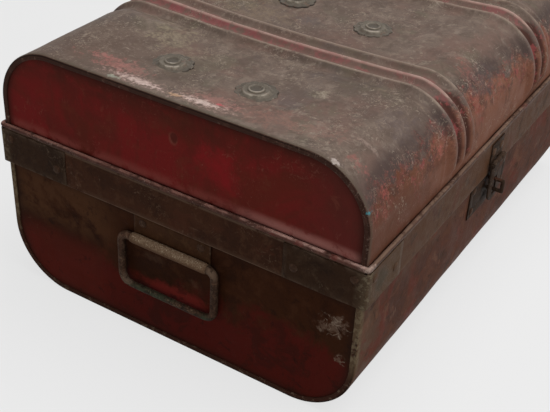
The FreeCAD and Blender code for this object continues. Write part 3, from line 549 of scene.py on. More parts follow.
for y, z, size in ((-0.171, 0.101, (0.02, 0.016, 0.015)), (-0.181, 0.07, (0.02, 0.006, 0.007))):
    crust = paint.over((stain, (-END_WALL, y, z), size, 0.9, 90.0, 0.35, 0.1))
    paint.coat((0.125, 0.078, 0.055), 0.85, crust, (95.0, 0.44, 0.58))
    curls = paint.lines(paint.clouds(135.0, 0.6, 0.5, 0.5), 0.012, 0.05)
    paint.coat((0.25, 0.185, 0.138), 0.75, crust, curls, (230.0, 0.44, 0.56), lift=1.0, rough=0.85)
BODY_END_PAINT = paint.finish(0.0006, 0.6)


def end_panels(part, material, rows, crown, radius, bulge, edge_shade_width, shade_line=None):
    """The two flat ends of the body or of the lid, which bulge inwards a little between their seams.

    Crown is the level of the rounded edge.  Bulge is its depth, the size of its waves and their seed.
    """
    rise = 1.0 if crown < rows[-1] else -1.0
    deep, size, seed = bulge
    half_wall, radius, edge = FRONT_WALL - SHEET, radius - SHEET, crown + rise * SHEET

    def half_at(height):
        short = radius - rise * (height - edge)
        if short <= 0:
            return half_wall
        return half_wall - radius + math.sqrt(max(0.0, radius ** 2 - min(short, radius) ** 2))

    # painted shade: one at the panel's seams and along the shade line, such as the band's foot, fading to
    # none inside
    def edge_shade(column, height):
        near = min((1.0 - abs(column)) * half_at(height), abs(height - crown)) - SEAM_WIDTH
        if shade_line is not None:
            near = min(near, abs(shade_line - height))
        return max(0.0, 1.0 - max(0.0, near) / edge_shade_width) ** 2

    for side, way in (("left", -1.0), ("right", 1.0)):
        def shape(column, height, way=way):
            half = half_at(height)
            place = Vector((way * END_WALL, column * half, height))
            fade = within(min((1.0 - abs(column)) * half, abs(height - crown)) / SEAM_STIFF)
            place.x -= way * (0.5 + 0.5 * dented(place, size, seed)) * deep * fade
            return place

        net = grid_mesh(spread(-1.0, 1.0, 0.03) + [1.0], rows, shape, {"edge_shade": edge_shade})
        finish_piece(f"{part}_panel_{side}", net, part, f"{part}_end_{side}", [material, PRIMER], SHEET,
                     Vector((way, 0, 0)))


panel_rows = spread(SHEET, 0.03, 0.0025) + spread(0.03, BODY_TOP, 0.006) + [BODY_TOP]
end_panels("body", BODY_END_PAINT, panel_rows, 0.0, BODY_RADIUS, (0.0015, 0.12, 5), 0.012,
           SKIRT_FOOT)


# The top edge of the body is rolled over a steel wire, which stiffens the open box.
WIRE_RADIUS = 0.0025
WIRE_PLAY = 0.00002


def rounded_loop(corners, step):
    """Points and outward directions round a closed outline of straight runs and round corners.

    Each corner is its sharp point and its radius, in order round the outline, anticlockwise.
    """
    points = []
    for number, (corner, radius) in enumerate(corners):
        before = (corners[number - 1][0] - corner).normalized()
        after = (corners[(number + 1) % len(corners)][0] - corner).normalized()
        opening = before.angle(after)
        centre = corner + (before + after).normalized() * radius / math.sin(opening / 2)
        start = corner + before * radius / math.tan(opening / 2) - centre
        for part in range(9):
            arm = Matrix.Rotation((math.pi - opening) * part / 8, 2) @ start
            points.append((centre + arm, arm.normalized()))
    dense = []
    for number, (point, out) in enumerate(points):
        following, next_out = points[(number + 1) % len(points)]
        for share in spread(0.0, 1.0, step / max(step, (following - point).length)):
            dense.append((point.lerp(following, share), out.lerp(next_out, share).normalized()))
    return dense


def round_bar(loop, radius, lay, sides=12, wobble=0.0, seed=0):
    """A round bar along a closed outline; lay turns an outline point and a height into a place."""
    def around(column, side):
        point, out = loop[column % len(loop)]
        angle = 2 * math.pi * (side % sides) / sides
        thick = radius + wobble * dented(lay(point, 0.0) + Vector((0, 0, angle * 0.002)), 0.012, seed)
        return lay(point + out * thick * math.cos(angle), thick * math.sin(angle))

    return grid_mesh(range(len(loop) + 1), range(sides + 1), around)


def level_bar(x, y, corner, step, level, radius, sides=12, wobble=0.0, seed=0):
    """A round bar that lies level, all round the case."""
    corners = [(Vector((way_x * x, way_y * y)), corner)
               for way_x, way_y in ((-1, -1), (1, -1), (1, 1), (-1, 1))]
    return round_bar(rounded_loop(corners, step), radius,
                     lambda point, up: Vector((point.x, point.y, level + up)), sides, wobble, seed)


paint = Paint("rim_wire_paint", (0.1, 0.065, 0.045), (0.05, 0.035, 0.025), (0.2, 0.14, 0.1), broad=30.0,
              fine=160.0)
paint.coat((0.17, 0.06, 0.03), 0.8, (chips, 110.0, 0.5), lift=-0.3)
wire = level_bar(END_WALL - SHEET - WIRE_RADIUS, FRONT_WALL - SHEET - WIRE_RADIUS, 0.003, 0.008,
                 BODY_TOP - WIRE_RADIUS, WIRE_RADIUS - WIRE_PLAY)
finish_piece("rim_wire", wire, "body", "body_rim_wire", [paint.finish()])


# A carrying handle hangs on each end: a strip riveted under the band, its lower edge rolled round the top
# bar of a ring bent from 7.8 mm bar.  The roll is rubbed bright; the ring keeps dark scale and green paint.
HANDLE_AXIS_X = 0.2766
HANDLE_AXIS_Z = 0.1092
BAR_RADIUS = 0.0039
PLATE_SHEET = 0.0012
PLATE_SPAN = (-0.044, 0.042)
PLATE_TOP = 0.1335
RIVET_INSET = 0.0105
RIVET_RADIUS = 0.0042
RIVET_CROWN = 0.0014
CLENCHED_HEAD = (0.0034, 0.0015)
RING_SIDES = (-0.0516, 0.0546)
RING_FOOT = 0.0529
RING_WORN_TOP = 0.064
RING_PLAY = 0.0001
RIVET_BELOW_EDGE = 0.0075

paint = Paint("handle_ring_iron", (0.058, 0.028, 0.017), (0.026, 0.015, 0.01), (0.108, 0.064, 0.041),
              broad=45.0, fine=190.0, darkness=0.65, lightness=0.6, metallic=0.05, gloss=0.03, grain=0.35)
paint.coat((0.034, 0.042, 0.025), 0.85, ("Z", 0.06, 0.054), (30.0, 0.4, 0.56))
paint.coat((0.018, 0.012, 0.009), 0.85, ("Z", 0.06, 0.054), (110.0, 0.5, 0.58))
paint.coat((0.14, 0.09, 0.06), 0.8, ("Z", 0.098, 0.108), ("Y", -0.04, -0.048), (150.0, 0.36, 0.54))
paint.coat((0.15, 0.1, 0.07), 0.75,
           (stain, (-HANDLE_AXIS_X, 0.05, 0.058), (0.02, 0.01, 0.01), 0.8, 120.0, 0.7, 0.3))
paint.coat((0.22, 0.15, 0.1), 0.6, (flecks, 260.0, 1.0), lift=0.4)
paint.coat((0.02, 0.011, 0.008), 0.75, (170.0, 0.57, 0.65), lift=-0.5, rough=0.75)
RING_IRON = paint.finish(0.0006, 0.9)

paint = Paint("handle_plate_iron", (0.05, 0.021, 0.01), (0.031, 0.014, 0.007), (0.078, 0.039, 0.018),
              broad=26.0, fine=90.0, darkness=0.5, lightness=0.5, rough=0.45, gloss=0.02, grain=0.08)
paint.coat((0.105, 0.055, 0.03), 0.85, "roll")
paint.coat((0.066, 0.034, 0.019), 0.5, "roll", (150.0, 0.5, 0.6))
paint.coat((0.15, 0.094, 0.058), 0.9, "worn")
paint.coat((0.235, 0.165, 0.105), 0.7, "worn", (520.0, 0.46, 0.62), lift=0.5, rough=0.35)
paint.coat((0.56, 0.45, 0.32), 0.75, ("worn", 0.35, 0.85), (760.0, 0.54, 0.66))
paint.coat((0.06, 0.032, 0.018), 0.6, "roll", (300.0, 0.6, 0.68), lift=-0.4)
paint.coat((0.12, 0.08, 0.055), 0.6, ("Y", -0.0428, -0.0436), (120.0, 0.44, 0.58))
PLATE_IRON = paint.finish(0.0006, 0.8)

paint = Paint("rivet_iron", (0.05, 0.025, 0.015), (0.03, 0.016, 0.01), (0.098, 0.06, 0.038), broad=60.0,
              fine=260.0, darkness=0.5, lightness=0.5, rough=0.48, metallic=0.05, gloss=0.03)
paint.coat((0.086, 0.048, 0.03), 0.9, ("Y", -0.199, -0.2005))
paint.coat((0.12, 0.086, 0.06), 0.5, (300.0, 0.57, 0.65), lift=0.3)
paint.coat((0.1, 0.04, 0.022), 0.7, (120.0, 0.6, 0.68), lift=-0.3, rough=0.8)
RIVET_IRON = paint.finish(0.0004, 0.8)


def spun(profile, steps, closed=True):
    """A turned shape from a profile of distances from the axis and heights."""
    net = bmesh.new()
    marks = [net.verts.new((far, 0.0, height)) for far, height in profile]
    edges = [net.edges.new(pair) for pair in zip(marks, marks[1:] + (marks[:1] if closed else []))]
    bmesh.ops.spin(net, geom=marks + edges, cent=(0, 0, 0), axis=(0, 0, 1), angle=2 * math.pi, steps=steps,
                   use_merge=True)
    bmesh.ops.remove_doubles(net, verts=net.verts, dist=1e-6)
    return net


def domed_rivet(place, outward, radius=RIVET_RADIUS, crown=RIVET_CROWN):
    """The closed head of a rivet: a low dome, a little dinged, with a small turned-down rim."""
    turns = [math.pi / 10 * part for part in range(5)]
    profile = [(math.sin(turn) * radius, math.cos(turn) ** 0.8 * crown) for turn in turns]
    net = spun(profile + [(radius, 0.12 * crown), (radius, -0.12 * crown)], 20, closed=False)
    bmesh.ops.holes_fill(net, edges=[edge for edge in net.edges if edge.is_boundary])
    for corner in net.verts:
        corner.co.z += 0.06 * radius * dented(corner.co + Vector(place), 0.004, 3)
    tilt = Vector(outward).to_track_quat("Z", "Y").to_matrix().to_4x4()
    bmesh.ops.transform(net, matrix=Matrix.Translation(place) @ tilt, verts=net.verts)
    return net


def gathered(nets):
    """Several meshes brought into one, such as a set of like rivets."""
    whole = bmesh.new()
    for net in nets:
        loose = bpy.data.meshes.new("loose")
        net.to_mesh(loose)
        net.free()
        whole.from_mesh(loose)
        bpy.data.meshes.remove(loose)
    return whole


def strip_wear(along, mark):
    """Bright where the roll faces out and down, less so near its ends."""
    kind, value = mark
    ends = min(1.0, (along - PLATE_SPAN[0]) / 0.006, (PLATE_SPAN[1] - along) / 0.006)
    return 0.0 if kind == "flat" else max(0.0, math.cos(math.radians(value - 425))) * (0.4 + 0.6 * ends)


def strip_roll(along, mark):
    return 0.0 if mark[0] == "flat" or mark[1] < 240 else 1.0


strip_rows = [("flat", z) for z in spread(PLATE_TOP, HANDLE_AXIS_Z + 0.001, 0.003)]
strip_rows += [("roll", angle) for angle in range(180, 486, 12)]
strip_columns = spread(*PLATE_SPAN, 0.002) + [PLATE_SPAN[1]]
ring_corners = ((RING_SIDES[0], RING_FOOT, 0.012), (RING_SIDES[1], RING_FOOT, 0.012),
                (RING_SIDES[1], HANDLE_AXIS_Z, 0.008), (RING_SIDES[0], HANDLE_AXIS_Z, 0.008))
ring_loop = rounded_loop([(Vector((y, z)), bend) for y, z, bend in ring_corners], 0.0025)

for side, way in (("left", -1.0), ("right", 1.0)):
    def strip_shape(along, mark, way=way):
        kind, value = mark
        if kind == "flat":
            return Vector((way * (END_WALL + PLATE_SHEET / 2), along, value))
        angle = math.radians(value)
        swell = BAR_RADIUS + RING_PLAY + PLATE_SHEET / 2
        if 300 < value < 450:
            swell -= abs(dented(Vector((0, along, 0)), 0.02, 11)) * 0.0003
        swell -= 0.0006 * max(0.0, 1.0 - min(along - PLATE_SPAN[0], PLATE_SPAN[1] - along) / 0.004) ** 2
        return Vector((way * (HANDLE_AXIS_X + swell * math.cos(angle)), along,
                       HANDLE_AXIS_Z + swell * math.sin(angle)))

    strip = grid_mesh(strip_columns, strip_rows, strip_shape, {"worn": strip_wear, "roll": strip_roll})
    finish_piece(f"handle_strip_{side}", strip, "body", f"handle_plate_{side}", [PLATE_IRON],
                 PLATE_SHEET, Vector((way, 0, 0)), offset=0.0)

    ring = round_bar(ring_loop, BAR_RADIUS - RING_PLAY,
                     lambda point, up, way=way: Vector((way * HANDLE_AXIS_X + up, point.x, point.y)),
                     16, 0.0001, 4)
    for corner in ring.verts:
        low = within((RING_WORN_TOP - corner.co.z) / 0.012)
        if low and abs(corner.co.y) < 0.05:
            corner.co = corner.co.lerp(Vector((way * HANDLE_AXIS_X, corner.co.y, RING_FOOT)), 0.2 * low)
    finish_piece(f"handle_bail_{side}", ring, f"handle_ring_{side}", f"handle_ring_{side}",
                 [RING_IRON])

    heads = []
    for x, out, head in ((END_WALL + PLATE_SHEET, way, ()), (END_WALL - SHEET, -way, CLENCHED_HEAD)):
        for y in (PLATE_SPAN[0] + RIVET_INSET, PLATE_SPAN[1] - RIVET_INSET):
            heads.append(domed_rivet((way * x, y, PLATE_TOP - RIVET_BELOW_EDGE), (out, 0, 0), *head))
    finish_piece(f"handle_rivet_heads_{side}", gathered(heads), "body", f"handle_rivets_{side}",
                 [RIVET_IRON])


# The small fittings of plain plate and bar, such as the hinges, the hasp and the lock plate: their sharp
# edges are eased as filing and wear leave them.
paint = Paint("fitting_iron", (0.036, 0.021, 0.014), (0.02, 0.013, 0.009), (0.072, 0.044, 0.029), broad=34.0,
              fine=130.0, lightness=0.5, rough=0.55, gloss=0.02)
paint.coat((0.085, 0.031, 0.018), 0.7, (60.0, 0.56, 0.64), lift=-0.4, rough=0.8)
paint.coat((0.16, 0.112, 0.08), 0.55, (flecks, 170.0, 0.7), lift=0.3)
paint.coat((0.22, 0.16, 0.12), 1.0, (scratches, (700.0, 700.0, 60.0), 0.5, 60.0))
FITTING_IRON = paint.finish(0.0004, 0.7)

for node, body, ease in (
        ("lock_plate", "body", 0.0003), ("staple", "body", 0.0001),
        ("hinge_body_leaf_left", "body", 0.0003), ("hinge_lid_leaf_left", "lid", 0.0003),
        ("hinge_pin_left", "body", 0.0003), ("hinge_body_leaf_right", "body", 0.0003),
        ("hinge_lid_leaf_right", "lid", 0.0003), ("hinge_pin_right", "body", 0.0003),
        ("hasp_leaf", "lid", 0.0003), ("hasp_strap", "hasp", 0.0004), ("hasp_pin", "lid", 0.0003)):
    net = bmesh.new()
    net.from_mesh(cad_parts[node].data)
    bmesh.ops.remove_doubles(net, verts=net.verts, dist=2e-6)
    bmesh.ops.dissolve_limit(net, angle_limit=math.radians(2), verts=net.verts, edges=net.edges)
    sharp = [edge for edge in net.edges
             if len(edge.link_faces) == 2 and edge.calc_face_angle() > math.radians(35)]
    bmesh.ops.bevel(net, geom=sharp, offset=ease, offset_type="OFFSET", affect="EDGES", segments=2,
                    profile=0.5, material=-1, clamp_overlap=True)
    bmesh.ops.triangulate(net, faces=net.faces)
    fitting = finish_piece(f"{node}_eased", net, body, node, [FITTING_IRON])
    fitting.data.set_sharp_from_angle(angle=math.radians(32))


# The skirt: a strip of heavier sheet under the lid on all four sides, its top edge turned in below the
# lid's walls.  It laps over the body like the rim of a tin.  Dark paint, rubbed along its edges, where a
# painted highlight also lies.
SKIRT_X, SKIRT_Y = 0.275, 0.2
SKIRT_TOP = 0.1725
SKIRT_SHEET = 0.0012
SKIRT_EASE = 0.0014
SKIRT_CORNER = 0.0022
SKIRT_END_GAP = 0.0042

paint = Paint("skirt_paint", (0.048, 0.019, 0.01), (0.028, 0.012, 0.007), (0.078, 0.037, 0.021), broad=15.0,
              fine=80.0, lightness=0.45, rough=0.42, gloss=0.015, grain=0.08)
skirt_front = ("Y", -0.1985, -0.1995)
paint.coat((0.088, 0.041, 0.021), 0.85, skirt_front)
paint.coat((0.09, 0.035, 0.021), 0.8, skirt_front, (14.0, 0.48, 0.6))
paint.coat((0.044, 0.024, 0.015), 0.7, skirt_front, (50.0, 0.55, 0.63))
paint.coat((0.058, 0.02, 0.011), 0.6, (28.0, 0.56, 0.64))
paint.coat((0.14, 0.085, 0.055), 0.5, (flecks, 150.0, 0.75), lift=0.3)
# the edges: rubbed paint and a painted highlight along the rounded top edge and the foot
paint.coat((0.13, 0.082, 0.055), 0.75, "edge", (60.0, 0.34, 0.5), lift=0.2)
paint.coat((0.16, 0.1, 0.07), 1.0, (scratches, (60.0, 60.0, 800.0), 0.35))
SKIRT_PAINT = paint.finish(0.0005, 0.6)

# outer face of the strip, as x, z and edge mask (rubbed paint and painted highlight), from the turned-in
# flange over its rounded edge to its foot
skirt_section = [(-0.0044, SKIRT_TOP, 0.0), (-0.003, SKIRT_TOP, 0.0), (-SKIRT_EASE, SKIRT_TOP, 0.6)]
for turn in (math.pi / 8, math.pi / 4, math.pi * 3 / 8):
    skirt_section.append((-SKIRT_EASE + SKIRT_EASE * math.sin(turn),
                          SKIRT_TOP - SKIRT_EASE + SKIRT_EASE * math.cos(turn), 1.0))
skirt_section.append((0.0, SKIRT_TOP - SKIRT_EASE, 0.8))
skirt_section += [(0.0, z, 0.0) for z in spread(SKIRT_TOP - 0.003, SKIRT_FOOT + 0.001, 0.0045)]
skirt_section += [(0.0, SKIRT_FOOT + 0.0012, 0.3), (0.0, SKIRT_FOOT + 0.0005, 0.9),
                  (-0.0002, SKIRT_FOOT, 1.0)]


def along_wall(start, end, corner):
    """Stations along one wall with its outward direction; it turns a little way round at both ends."""
    run = (end - start).normalized()
    out = Vector((run.y, -run.x))

    def turned(place, way, angles):
        arms = [out * math.cos(lean) + run * way * math.sin(lean) for lean in map(math.radians, angles)]
        return [(place - run * way * corner - out * corner + arm * corner, arm) for arm in arms]

    length = (end - start).length - 2 * corner
    level = [(start + run * (corner + s), out) for s in spread(0.0, length, 0.006) + [length]]
    return turned(start, -1.0, (75, 60, 45, 30, 15)) + level + turned(end, 1.0, (15, 30, 45, 60, 75))


def skirt_shape(station, mark):
    (point, out), (across, z, edge) = station, mark
    place = Vector((point.x + out.x * across, point.y + out.y * across, z))
    swell = dented(place, 0.07, 21) * 0.0005 if across == 0.0 else 0.0
    return place - Vector((out.x, out.y, 0)) * abs(swell)


for wall, start, end in (("front", (-1, -1), (1, -1)), ("right", (1, -1), (1, 1)),
                         ("back", (1, 1), (-1, 1)), ("left", (-1, 1), (-1, -1))):
    start, end = (Vector((x * SKIRT_X, y * SKIRT_Y)) for x, y in (start, end))
    stations = along_wall(start, end, SKIRT_CORNER)
    out = stations[len(stations) // 2][1]
    if wall in ("left", "right"):
        run = (end - start).normalized() * SKIRT_END_GAP
        stations = [(start + run, out)] + stations[6:-6] + [(end - run, out)]
    skirt = grid_mesh(stations, skirt_section, skirt_shape, {"edge": lambda station, mark: mark[2]})
    finish_piece(f"skirt_strip_{wall}", skirt, "lid", f"skirt_{wall}", [SKIRT_PAINT, PRIMER],
                 SKIRT_SHEET, Vector((out.x, out.y, 0)))


# Corner straps: bent blue-black sheet over each corner of the skirt, four rivets in each.  The bend is
# knocked and crusted with grey scale.
STRAP_SHEET = 0.0008
STRAP_LEGS = {"x": 0.062, "y": 0.08}
STRAP_FOOT, STRAP_TOP = 0.1353, 0.1717
STRAP_BEND = 0.003
STRAP_X, STRAP_Y = SKIRT_X + STRAP_SHEET, SKIRT_Y + STRAP_SHEET
# distance of a rivet from its corner, and its height: near the bend, and near the end of each leg
STRAP_RIVETS = (("y", 0.0115, SKIRT_FOOT + 0.0278), ("y", STRAP_LEGS["y"] - 0.011, SKIRT_FOOT + 0.0148),
                ("x", 0.0115, SKIRT_FOOT + 0.0278), ("x", STRAP_LEGS["x"] - 0.011, SKIRT_FOOT + 0.0148))

paint = Paint("corner_strap_paint", (0.032, 0.016, 0.009), (0.02, 0.011, 0.007), (0.052, 0.03, 0.018),
              broad=20.0, fine=90.0, lightness=0.45, rough=0.42, gloss=0.015, grain=0.08)
strap_front = ("Y", -0.1988, -0.1998)
paint.coat((0.09, 0.05, 0.028), 0.92, strap_front)
paint.coat((0.082, 0.038, 0.023), 0.7, strap_front, (24.0, 0.5, 0.6))
paint.coat((0.08, 0.054, 0.033), 0.85, "bend", (80.0, 0.34, 0.48))
paint.coat((0.185, 0.145, 0.095), 0.7, "bend", (210.0, 0.5, 0.57), lift=1.0, rough=0.85)
paint.coat((0.092, 0.06, 0.04), 0.6, "edge", (70.0, 0.42, 0.56), ("Y", -0.2, -0.199), lift=0.3)
paint.coat((0.145, 0.1, 0.066), 0.5, (flecks, 150.0, 0.7), lift=0.3)
paint.coat((0.15, 0.105, 0.07), 1.0, (scratches, (80.0, 800.0, 500.0), 0.3, 60.0))
paint.coat((0.048, 0.044, 0.031), 0.6,
           (stain, (-0.252, -STRAP_Y, 0.153), (0.014, 0.02, 0.015), 1.0, 70.0, 0.6, 0.2))
STRAP_PAINT = paint.finish(0.0006, 0.8)


def strap_shape(station, z):
    point, out = station[:2]
    place = Vector((point.x, point.y, z))
    return place + Vector((out.x, out.y, 0)) * max(0.0, dented(place, 0.02, 31)) * 0.0004


def strap_edge_wear(station, z):
    leg = STRAP_LEGS["y"] if abs(station[1].x) > 0.9 else STRAP_LEGS["x"]
    near = min(z - STRAP_FOOT, STRAP_TOP - z, 0.004, max(0.0, leg + STRAP_SHEET - station[3]))
    return 1.0 - near / 0.004


def strap_bend_wear(station, z):
    return station[2] if station[2] else max(0.0, 1.0 - (station[3] - STRAP_BEND) / 0.008)


strap_heights = [STRAP_FOOT, STRAP_FOOT + 0.0006] + spread(STRAP_FOOT + 0.003, STRAP_TOP - 0.003, 0.0045)
strap_heights += [STRAP_TOP - 0.003, STRAP_TOP - 0.0006, STRAP_TOP]
strap_heads = []
for side, x_way in (("left", -1.0), ("right", 1.0)):
    for face, y_way in (("front", -1.0), ("back", 1.0)):
        corner = Vector((x_way * STRAP_X, y_way * STRAP_Y))
        stations = [(Vector((corner.x, corner.y - y_way * s)), Vector((x_way, 0)), 0.0, s)
                    for s in spread(STRAP_LEGS["y"] + STRAP_SHEET, STRAP_BEND, 0.005)]
        for part in range(7):
            angle = math.pi / 2 * part / 6
            arm = Vector((x_way * math.cos(angle), y_way * math.sin(angle)))
            place = corner - Vector((x_way, y_way)) * STRAP_BEND + arm * STRAP_BEND
            stations.append((place, arm, 1.0, STRAP_BEND))
        stations += [(Vector((corner.x - x_way * s, corner.y)), Vector((0, y_way)), 0.0, s)
                     for s in reversed(spread(STRAP_LEGS["x"] + STRAP_SHEET, STRAP_BEND, 0.005))]
        strap = grid_mesh(stations, strap_heights, strap_shape,
                          {"edge": strap_edge_wear, "bend": strap_bend_wear})
        finish_piece(f"corner_strap_{face}_{side}_bent", strap, "lid", f"corner_strap_{face}_{side}",
                     [STRAP_PAINT], STRAP_SHEET, Vector((x_way, y_way, 0)))
        for leg, distance, z in STRAP_RIVETS:
            if leg == "y":
                strap_heads.append(domed_rivet((corner.x, y_way * (SKIRT_Y - distance), z), (x_way, 0, 0)))
            else:
                strap_heads.append(domed_rivet((x_way * (SKIRT_X - distance), corner.y, z), (0, y_way, 0)))
finish_piece("corner_strap_rivet_heads", gathered(strap_heads), "lid", "corner_strap_rivets",
             [RIVET_IRON])

# The rolled edge of the lid: its wall sheets are rolled outwards over a wire all round, just above the skirt.
# Its upper side is rubbed pale along the ends and carries a painted highlight.
BEAD_RADIUS = 0.0026
paint = Paint("bead_paint", (0.08, 0.032, 0.023), (0.036, 0.016, 0.011), (0.145, 0.072, 0.054), broad=20.0,
              fine=90.0, darkness=0.65, lightness=0.5, rough=0.4, grain=0.12)
bead_front = ("Y", -0.195, -0.1985)
paint.coat((0.066, 0.036, 0.024), 0.85, bead_front, (20.0, 0.3, 0.5))
# the upper side: rubbed pale, with a painted highlight along it, brightest on the ends
paint.coat((0.2, 0.13, 0.092), 0.7, bead_front, ("Z", 0.1762, 0.1774), (50.0, 0.34, 0.5))
bead_top = paint.over(("Z", 0.1761, 0.1775), (40.0, 0.38, 0.54), ("Y", -0.1985, -0.195))
paint.coat((0.33, 0.165, 0.13), 0.7, bead_top)
paint.coat((0.52, 0.34, 0.29), 0.65, bead_top, paint.over(("Y", -0.04, -0.12), (30.0, 0.38, 0.52)))
paint.coat((0.042, 0.018, 0.012), 0.75, (38.0, 0.52, 0.6))
paint.coat((0.135, 0.028, 0.022), 0.5, (50.0, 0.57, 0.64))
paint.coat((0.32, 0.22, 0.18), 0.55, (flecks, 170.0, 0.8), lift=0.3)
# painted glints on the bead's fold at the front left corner
paint.coat((0.4, 0.29, 0.24), 0.75,
           (stain, (-0.274, -0.199, 0.176), (0.009, 0.009, 0.004), 0.9, 160.0, 0.5, 0.6))
paint.coat((0.3, 0.21, 0.17), 1.0, (scratches, (60.0, 60.0, 900.0), 0.5, 70.0))
bead = level_bar(END_WALL + BEAD_RADIUS, FRONT_WALL + BEAD_RADIUS, 0.0022, 0.005, SKIRT_TOP + BEAD_RADIUS,
                 BEAD_RADIUS - 0.0002, 14, 0.0002, 6)
finish_piece("lid_rolled_edge", bead, "lid", "lid_bead", [paint.finish(0.0004, 0.7)])

# The lid: one sheet over front, top and back, pressed with two groups of three ribs and folded over the end
# panels.  It has settled between its stiff ends.  Taupe paint over red; the crests are rubbed bare and carry
# painted highlights, and painted shade lies in the grooves round the bend.
LID_FOOT = SKIRT_TOP
LID_TOP = 0.2645
LID_RADIUS = 0.0615
RIB_GROUPS = (-0.097, 0.097)
RIB_PITCH = 0.0195
RIB_HALF = 0.0088
RIB_HEIGHT = 0.005
LID_SETTLED = 0.0075
LID_SAG = 0.0045
VALLEY_LIP = 0.0355
LIP_RISE = 0.16
LIP_HALF = 0.004
RIB_COLUMNS = (0.066, 0.138)


def soft_step(share):
    """Between 0 and 1, with a soft start and end."""
    share = within(share)
    return share * share * (3 - 2 * share)


def rib_rise(x, z, flatness):
    """Height of the pressed ribs above the sheet, and how deep a place lies between two of them.

    The crests are pinched narrow on the flat top and stay broad round the bends.
    """
    rise = 0.0
    between = 0.0
    pinched = 0.65 + 0.85 * within((flatness - 0.65) / 0.31)
    for group in RIB_GROUPS:
        for number in (-1, 0, 1):
            away = abs(x - group - number * RIB_PITCH)
            if away < RIB_HALF:
                rise = max(rise, (0.5 + 0.5 * math.cos(math.pi * away / RIB_HALF)) ** pinched)
        for number in (-0.5, 0.5):
            between = max(between, 1.0 - abs(x - group - number * RIB_PITCH) / (RIB_PITCH * 0.45))
        lip = abs(x - group - math.copysign(VALLEY_LIP, group))
        rise = max(rise, LIP_RISE * max(0.0, 1.0 - lip / LIP_HALF))
    fade = soft_step((z - LID_FOOT - 0.007) / 0.016)
    return rise * fade, between * fade


def lid_outline(column, distance):
    """A point of the lid's outline before the ribs: the ends hold it up, and the ribs' back bends less."""
    x, depth = column
    point, out = arched(distance, FRONT_WALL, LID_FOOT, LID_TOP, LID_RADIUS, depth)
    free = 1.0 - min(1.0, abs(x) / END_WALL) ** 4
    back = soft_step((point.y - 0.05) / 0.08)
    settled = LID_SETTLED * (free * (1.0 - back) + min(free, soft_step((0.15 - abs(x)) / 0.025)) * back)
    nominal = 2 * (LID_TOP - LID_FOOT) + 2 * FRONT_WALL - (4 - math.pi) * LID_RADIUS
    lost = (math.pi - 2) * settled
    point, out = arched(distance * (1.0 - lost / nominal), FRONT_WALL, LID_FOOT, LID_TOP - settled,
                        LID_RADIUS - settled, depth)
    point.x = x
    point.z -= LID_SAG * free * max(0.0, 1.0 - (point.y / 0.15) ** 2) * max(0.0, out.z)
    return point, out


def ribs_at(column, distance):
    point, out = lid_outline(column, distance)
    return rib_rise(column[0], point.z, out.z)


def lid_shape(column, distance):
    point, out = lid_outline(column, distance)
    rise = rib_rise(column[0], point.z, out.z)[0]
    swell = dented(point, 0.11, 8) * 0.0014 + dented(point, 0.04, 9) * 0.0004
    return point - out * abs(swell) * (0.1 + 0.9 * free_of_seam(column[0])) + out * rise * RIB_HEIGHT


def lid_level(x, y):
    """Height of the settled top at a place on its flat."""
    distance = LID_TOP - LID_FOOT - LID_RADIUS + LID_RADIUS * math.pi / 2 + y + FRONT_WALL - LID_RADIUS
    return lid_shape((x, 0.0), distance).z


def near_line(x, offset, width):
    """One on a line at an offset outwards from the middle of each rib group, falling to nothing beside it."""
    away = min(abs(x - math.copysign(abs(group) + offset, group)) for group in RIB_GROUPS)
    return max(0.0, 1.0 - away / width)


# one on the crests, between the ribs, on the lip beside each group, and along each group's middle rib
LID_WEAR_AND_SHADING = {
    "hem": hem_shade_and_grime,
    "crest": lambda column, distance: within((ribs_at(column, distance)[0] - 0.8) / 0.2) ** 1.5,
    "valley": lambda column, distance: ribs_at(column, distance)[1],
    "lip": lambda column, distance: near_line(column[0], VALLEY_LIP, 0.0022),
    "middle": lambda column, distance: near_line(column[0], 0.0, RIB_PITCH),
}

paint = Paint("lid_wrap_paint", (0.136, 0.098, 0.078), (0.09, 0.064, 0.051), (0.19, 0.145, 0.116), broad=15.0,
              fine=62.0, darkness=0.62, lightness=0.5, rough=0.52, gloss=0.04, grain=0.1)
for shade, share, scale, low, high in (
        ((0.152, 0.09, 0.072), 0.65, 8.0, 0.48, 0.6), ((0.118, 0.098, 0.07), 0.65, 15.0, 0.52, 0.62),
        ((0.098, 0.076, 0.07), 0.6, 11.0, 0.56, 0.66), ((0.09, 0.062, 0.05), 0.65, 24.0, 0.5, 0.64),
        ((0.21, 0.16, 0.13), 0.6, 31.0, 0.5, 0.68), ((0.088, 0.063, 0.049), 0.6, 58.0, 0.52, 0.66),
        ((0.24, 0.19, 0.152), 0.55, 95.0, 0.55, 0.68)):
    paint.coat(shade, share, (scale, low, high))
spotted = (13.0, 0.5, 0.62, 0.8)
paint.coat((0.074, 0.052, 0.041), 0.55, spotted, (120.0, 0.53, 0.63), lift=-0.2)
paint.coat((0.31, 0.25, 0.2), 0.55, spotted, (260.0, 0.55, 0.63), lift=0.2)
paint.coat((0.105, 0.068, 0.052), 0.5, ("X", -0.13, -0.24), ("Y", 0.02, 0.12))
crown = ("Z", 0.24, 0.252)
curve = paint.over(("Z", 0.254, 0.243), ("Z", 0.206, 0.226))
paint.coat((0.09, 0.06, 0.05), 0.45, curve)
paint.coat((0.05, 0.034, 0.031), 0.72, curve, (17.0, 0.36, 0.6))

